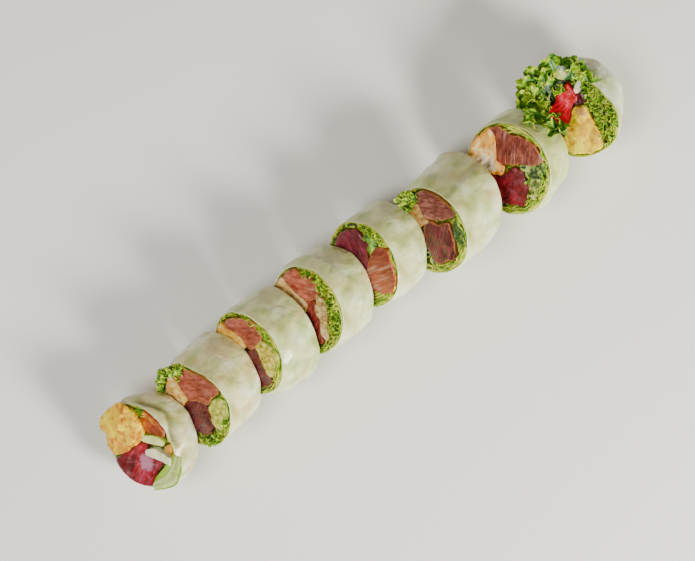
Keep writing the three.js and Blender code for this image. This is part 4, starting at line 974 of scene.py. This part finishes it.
def ribbon(index, row):
    """Leaf edges in a stretch of the rim, standing out of the cut."""
    number, first, last, share, rise, flare, wave, height, leaves = row
    one = SLICE[number]
    rng = np.random.default_rng(100 + index)
    parts = []
    rows = 7
    t = np.linspace(0, 1, rows)[:, None]
    for k in range(leaves):
        base = one.lip_radius(math.radians((first + last) / 2)) * share - 1.4 * k
        span = math.radians(last - first)
        steps = max(20, int(abs(span) * base / 0.5))
        u = np.linspace(0, 1, steps)[None, :]
        angle = math.radians(first) + span * u + 0 * t
        s = span * base * u
        swell = rough(np.stack([s, 0 * s, 0 * s], axis=-1), wave * 1.4, index * 7 + k)
        phase = rng.uniform(0, 6) + 1.6 * swell
        grow = 0.35 + 0.65 * t ** 1.2
        first_wave = height * grow * np.sin(2 * np.pi * s / wave + phase)
        second_wave = 0.3 * height * t * np.sin(2 * np.pi * s / (wave * 0.37) + 2 * phase)
        lateral = first_wave + second_wave + flare * t
        slide = 0.4 * height * t * np.cos(2 * np.pi * s / wave + phase)
        ends = np.clip(np.minimum(u, 1 - u) * 6, 0, 1)
        radius = one.outline(angle, 0 * angle) * share - 1.4 * k + lateral - SHEET * 0.4
        reaching = rise * (0.75 + 0.35 * np.sin(2 * np.pi * s / (wave * 1.7) + phase)) * (0.3 + 0.7 * ends)
        depth = 2.2 * (1 - t) - reaching * t
        angle = angle + slide / base
        free = 3 * np.clip(-depth - 0.6, 0, 1)
        sheet = one.put(np.minimum(radius, one.outline(angle, 0 * angle) - SHEET * 0.9 + free), angle, depth)
        p, f = thick(sheet, 0.7 - 0.3 * np.repeat(t, steps, axis=1))
        # brighter towards the free edge, and painted light and shade along each wave, following its shape
        bright = 0.3 + 0.5 * t + 0.25 * np.sin(2 * np.pi * s / wave + phase + 1) * t
        parts.append((p, f, np.tile(bright.ravel(), 2)))
    points, faces, tint = gathered(parts)
    build(f"slice{number}_leaf_edge_{index + 1}", points, faces, one, LOOK["curly"], (), tint)


# Leaves that stick out of the cut: slice, root, middle and tip lines (across, up, inward, in mm),
# number of waves, wave height, rows of curls as (where along the leaf, size), and the look.
BLADES = [
    (1, [[-11, 16.5, 0.4], [-14.6, 8, 0.2], [-17.6, -2, 0]],
     [[-12.6, 20, -1.8], [-19.8, 9.5, -2.2], [-20, -4, -1.9]],
     [[-14.5, 23.5, -2.4], [-25, 11, -2.2], [-22.4, -6, -1.8]],
     3, 0.35, (), "rib"),
    (2, [[16.6, 2.2, -0.6], [18.4, -3.6, -0.6], [18.4, -10, -0.6], [14.4, -15.2, -0.7]],
     [[18.5, 3.3, -2.3], [21.4, -3.3, -2.4], [21.2, -11, -2.2], [15.9, -17.4, -1.8]],
     [[20.4, 4.4, -2.4], [24.4, -3, -2.5], [24, -12, -2.1], [17.4, -19.6, -1.4]],
     5, 0.6, ((0.98, 3.4), (0.62, 3.6)), "curly"),
    (6, [[17.2, 0.5, 0.2], [17.0, -4, 0], [15.4, -8, 0.2]],
     [[19.6, 0.8, -1.8], [20.4, -4.5, -2.2], [18.7, -9.8, -1.9]],
     [[22.0, 1, -1.8], [23.8, -5, -2.4], [22.0, -11.5, -2.0]],
     4, 0.6, ((0.98, 3.4), (0.6, 3.4)), "curly"),
    (8, [[11, 17, 0], [18, 12, 0], [19, 4, 0], [15, -4, 0], [11, -9, 0], [4, -12.5, 0], [-5, -13.5, 0]],
     [[14, 19.5, -3], [21.5, 16.5, -4], [25.5, 7.5, -5.5], [24.5, -2.5, -8], [19, -8, -13.5],
      [9.5, -5, -19.5], [-4, 0, -18.5]],
     [[15, 21.5, -3], [24, 18.5, -5], [31.4, 10, -8], [31.8, -1, -11], [28, -12, -17.5],
      [14, -14.4, -27.5], [-3, -4.5, -28]],
     9, 0.9, ((1.0, 7.6), (0.80, 7.8), (0.60, 7.4), (0.42, 6.4)), "curly"),
]


def blade(row):
    """A leaf that comes out of the cut, with curls along its edge and over its face."""
    number, root, middle, tip, waves, height, tiers, look = row
    one = SLICE[number]
    rng = np.random.default_rng(500 + number)
    across, rows = 16 * waves, 12
    u = np.linspace(0, 1, across)
    v = np.linspace(0, 1, rows)[:, None, None]
    full = 0.86 if tiers else 1.0
    r, m, e = ease(root, u, False)[None], ease(middle, u, False)[None], ease(tip, u, False)[None]
    q = 2 * v * full
    path = np.where(q < 1, r + (m - r) * q, m + (e - m) * (q - 1))
    along = np.gradient(path, axis=1)
    along /= np.maximum(np.linalg.norm(along, axis=-1, keepdims=True), 1e-9)
    outwards = np.gradient(path, axis=0)
    outwards /= np.maximum(np.linalg.norm(outwards, axis=-1, keepdims=True), 1e-9)
    normal = np.cross(along, outwards)
    normal *= np.where(normal[..., 2:] > 0, -1, 1)
    turn = 2 * np.pi * waves * u[None, :, None]
    turn = turn + 1.2 * rough(np.stack([30 * u, 0 * u, 0 * u], -1), 2.6, number)[None, :, None]
    sheet = (path + normal * height * v ** 1.3 * (np.sin(turn) + 0.4 * np.sin(2.7 * turn + 1))
             + along * (0.4 * height * v ** 1.5 * np.cos(turn)))
    p, f = thick(sheet, 0.7 - 0.3 * np.repeat(v[..., 0], across, axis=1))
    shade = 0.1 + 0.9 * np.abs(v[..., 0] * 2.7 - 1.7) ** 1.6 + 0 * u[None]
    # under tiers of curls the leaf itself is painted dark, as painted shade beneath them
    if tiers:
        shade = 0.08 + 0.2 * v[..., 0] + 0 * u[None]
    parts = [(p, f, np.tile(shade.ravel(), 2))]
    length = np.linalg.norm(np.diff(e[0], axis=0), axis=1).sum()
    for where, size in tiers:
        count = max(3, int(length / (size * 0.76)))
        for i in range(count):
            k = int((i + rng.uniform(0.15, 0.85)) / count * (across - 1))
            size_here = size * rng.uniform(0.8, 1.12)
            at = where + rng.uniform(-0.05, 0.0)
            if 2 * at < 1:
                goal = r[0, k] + (m[0, k] - r[0, k]) * 2 * at
            else:
                goal = m[0, k] + (e[0, k] - m[0, k]) * (2 * at - 1)
            j = min(rows - 1, int(at / full * (rows - 1)))
            growing = unit(outwards[j, k] + along[j, k] * rng.uniform(-0.75, 0.75)
                           + normal[j, k] * rng.uniform(-0.15, 0.5))
            base = goal - growing * size_here * 0.95
            spot = base + growing * size_here * 0.6
            if by_cucumber(number, spot, 6.4) and spot[2] > -9:
                continue
            facing = (normal[j, k] + along[j, k] * rng.uniform(-0.5, 0.5)
                      + outwards[j, k] * rng.uniform(-0.4, 0.4))
            parts.append(curl(rng, base + normal[j, k] * rng.uniform(0.1, 0.6), growing, facing, size_here))
    points, faces, tint = gathered(parts)
    build(f"slice{number}_ruffled_leaf", points, faces, one, LOOK[look],
          (f"slice{number}_outer_leaf",), tint)


# ------------------------------------------------------------------ making the roll

for one in SLICE[1:]:
    rice_sheet_piece(one)
    lettuce_bed(one)
for node in FILLINGS:
    filling(node)
omelette_head()
cucumber_slice()
for index, row in enumerate(CURLS):
    curls(index, row)
for index, row in enumerate(RIBBONS):
    ribbon(index, row)
for row in BLADES:
    blade(row)

# ------------------------------------------------------------------ camera, floor and light

ROW_ANGLE = 37.3  # how steeply the row runs up to the right across the picture, degrees
TILT = math.radians(87)  # how far above the horizon the camera stands
AIM_HIGH = 28.0  # height of the point that the camera looks at, mm
AWAY = 1000  # from there to the camera, mm
PHOTO_WIDE = 695  # pixels
FOCAL = 2000  # pixels
OFF_MIDDLE = (-16, -8)  # how far the picture is shifted off the lens's axis, pixels
FLOOR_HALF, FLOOR_HIGH = 6, -0.0002  # half the floor's width, and its height, in metres
roll = math.radians(90 - ROW_ANGLE)
back = np.array([-math.cos(TILT), 0, math.sin(TILT)])
right = np.array([0, -1.0, 0])
upward = np.cross(back, right)
right, upward = (right * math.cos(roll) + upward * math.sin(roll),
                 -right * math.sin(roll) + upward * math.cos(roll))
eye = SHIFT + np.array([0, 0, AIM_HIGH]) + back * AWAY
lens = bpy.data.cameras.new("camera")
lens.sensor_width = 36
lens.lens = lens.sensor_width * FOCAL / PHOTO_WIDE
lens.shift_x, lens.shift_y = (pixels / PHOTO_WIDE for pixels in OFF_MIDDLE)
camera = bpy.data.objects.new("camera", lens)
bpy.context.scene.collection.objects.link(camera)
turn = Matrix([[right[i], upward[i], back[i]] for i in range(3)]).to_4x4()
camera.matrix_world = Matrix.Translation(Vector(eye * MM)) @ turn
bpy.context.scene.camera = camera

ground = bpy.data.meshes.new("floor")
corners = ((-1, -1), (1, -1), (1, 1), (-1, 1))
ground.from_pydata([(x * FLOOR_HALF, y * FLOOR_HALF, FLOOR_HIGH) for x, y in corners], [],
                   [(0, 1, 2, 3)])
floor = bpy.data.objects.new("floor", ground)
bpy.context.scene.collection.objects.link(floor)
plain = Finish("floor", Roughness=0.8)
plain.shader.inputs["Base Color"].default_value = paint("#e6e4e0")
ground.materials.append(plain.material)


def lamp(name, at, size, power, colour="#ffffff"):
    """A soft square light that looks at the middle of the row."""
    light = bpy.data.lights.new(name, "AREA")
    light.size = size
    light.energy = power
    light.color = paint(colour)[:3]
    obj = bpy.data.objects.new(name, light)
    bpy.context.scene.collection.objects.link(obj)
    obj.location = at
    obj.rotation_euler = (-Vector(at)).to_track_quat("-Z", "Y").to_euler()


lamp("key", (0.25, -0.92, 0.56), 0.3, 26, "#fdfff2")
lamp("top", (-0.6, 0.1, 1.05), 0.5, 12)
sky = bpy.data.worlds.new("sky")
sky.use_nodes = True
sky.node_tree.nodes["Background"].inputs["Color"].default_value = paint("#f0e4c8")
sky.node_tree.nodes["Background"].inputs["Strength"].default_value = 0.25
bpy.context.scene.world = sky
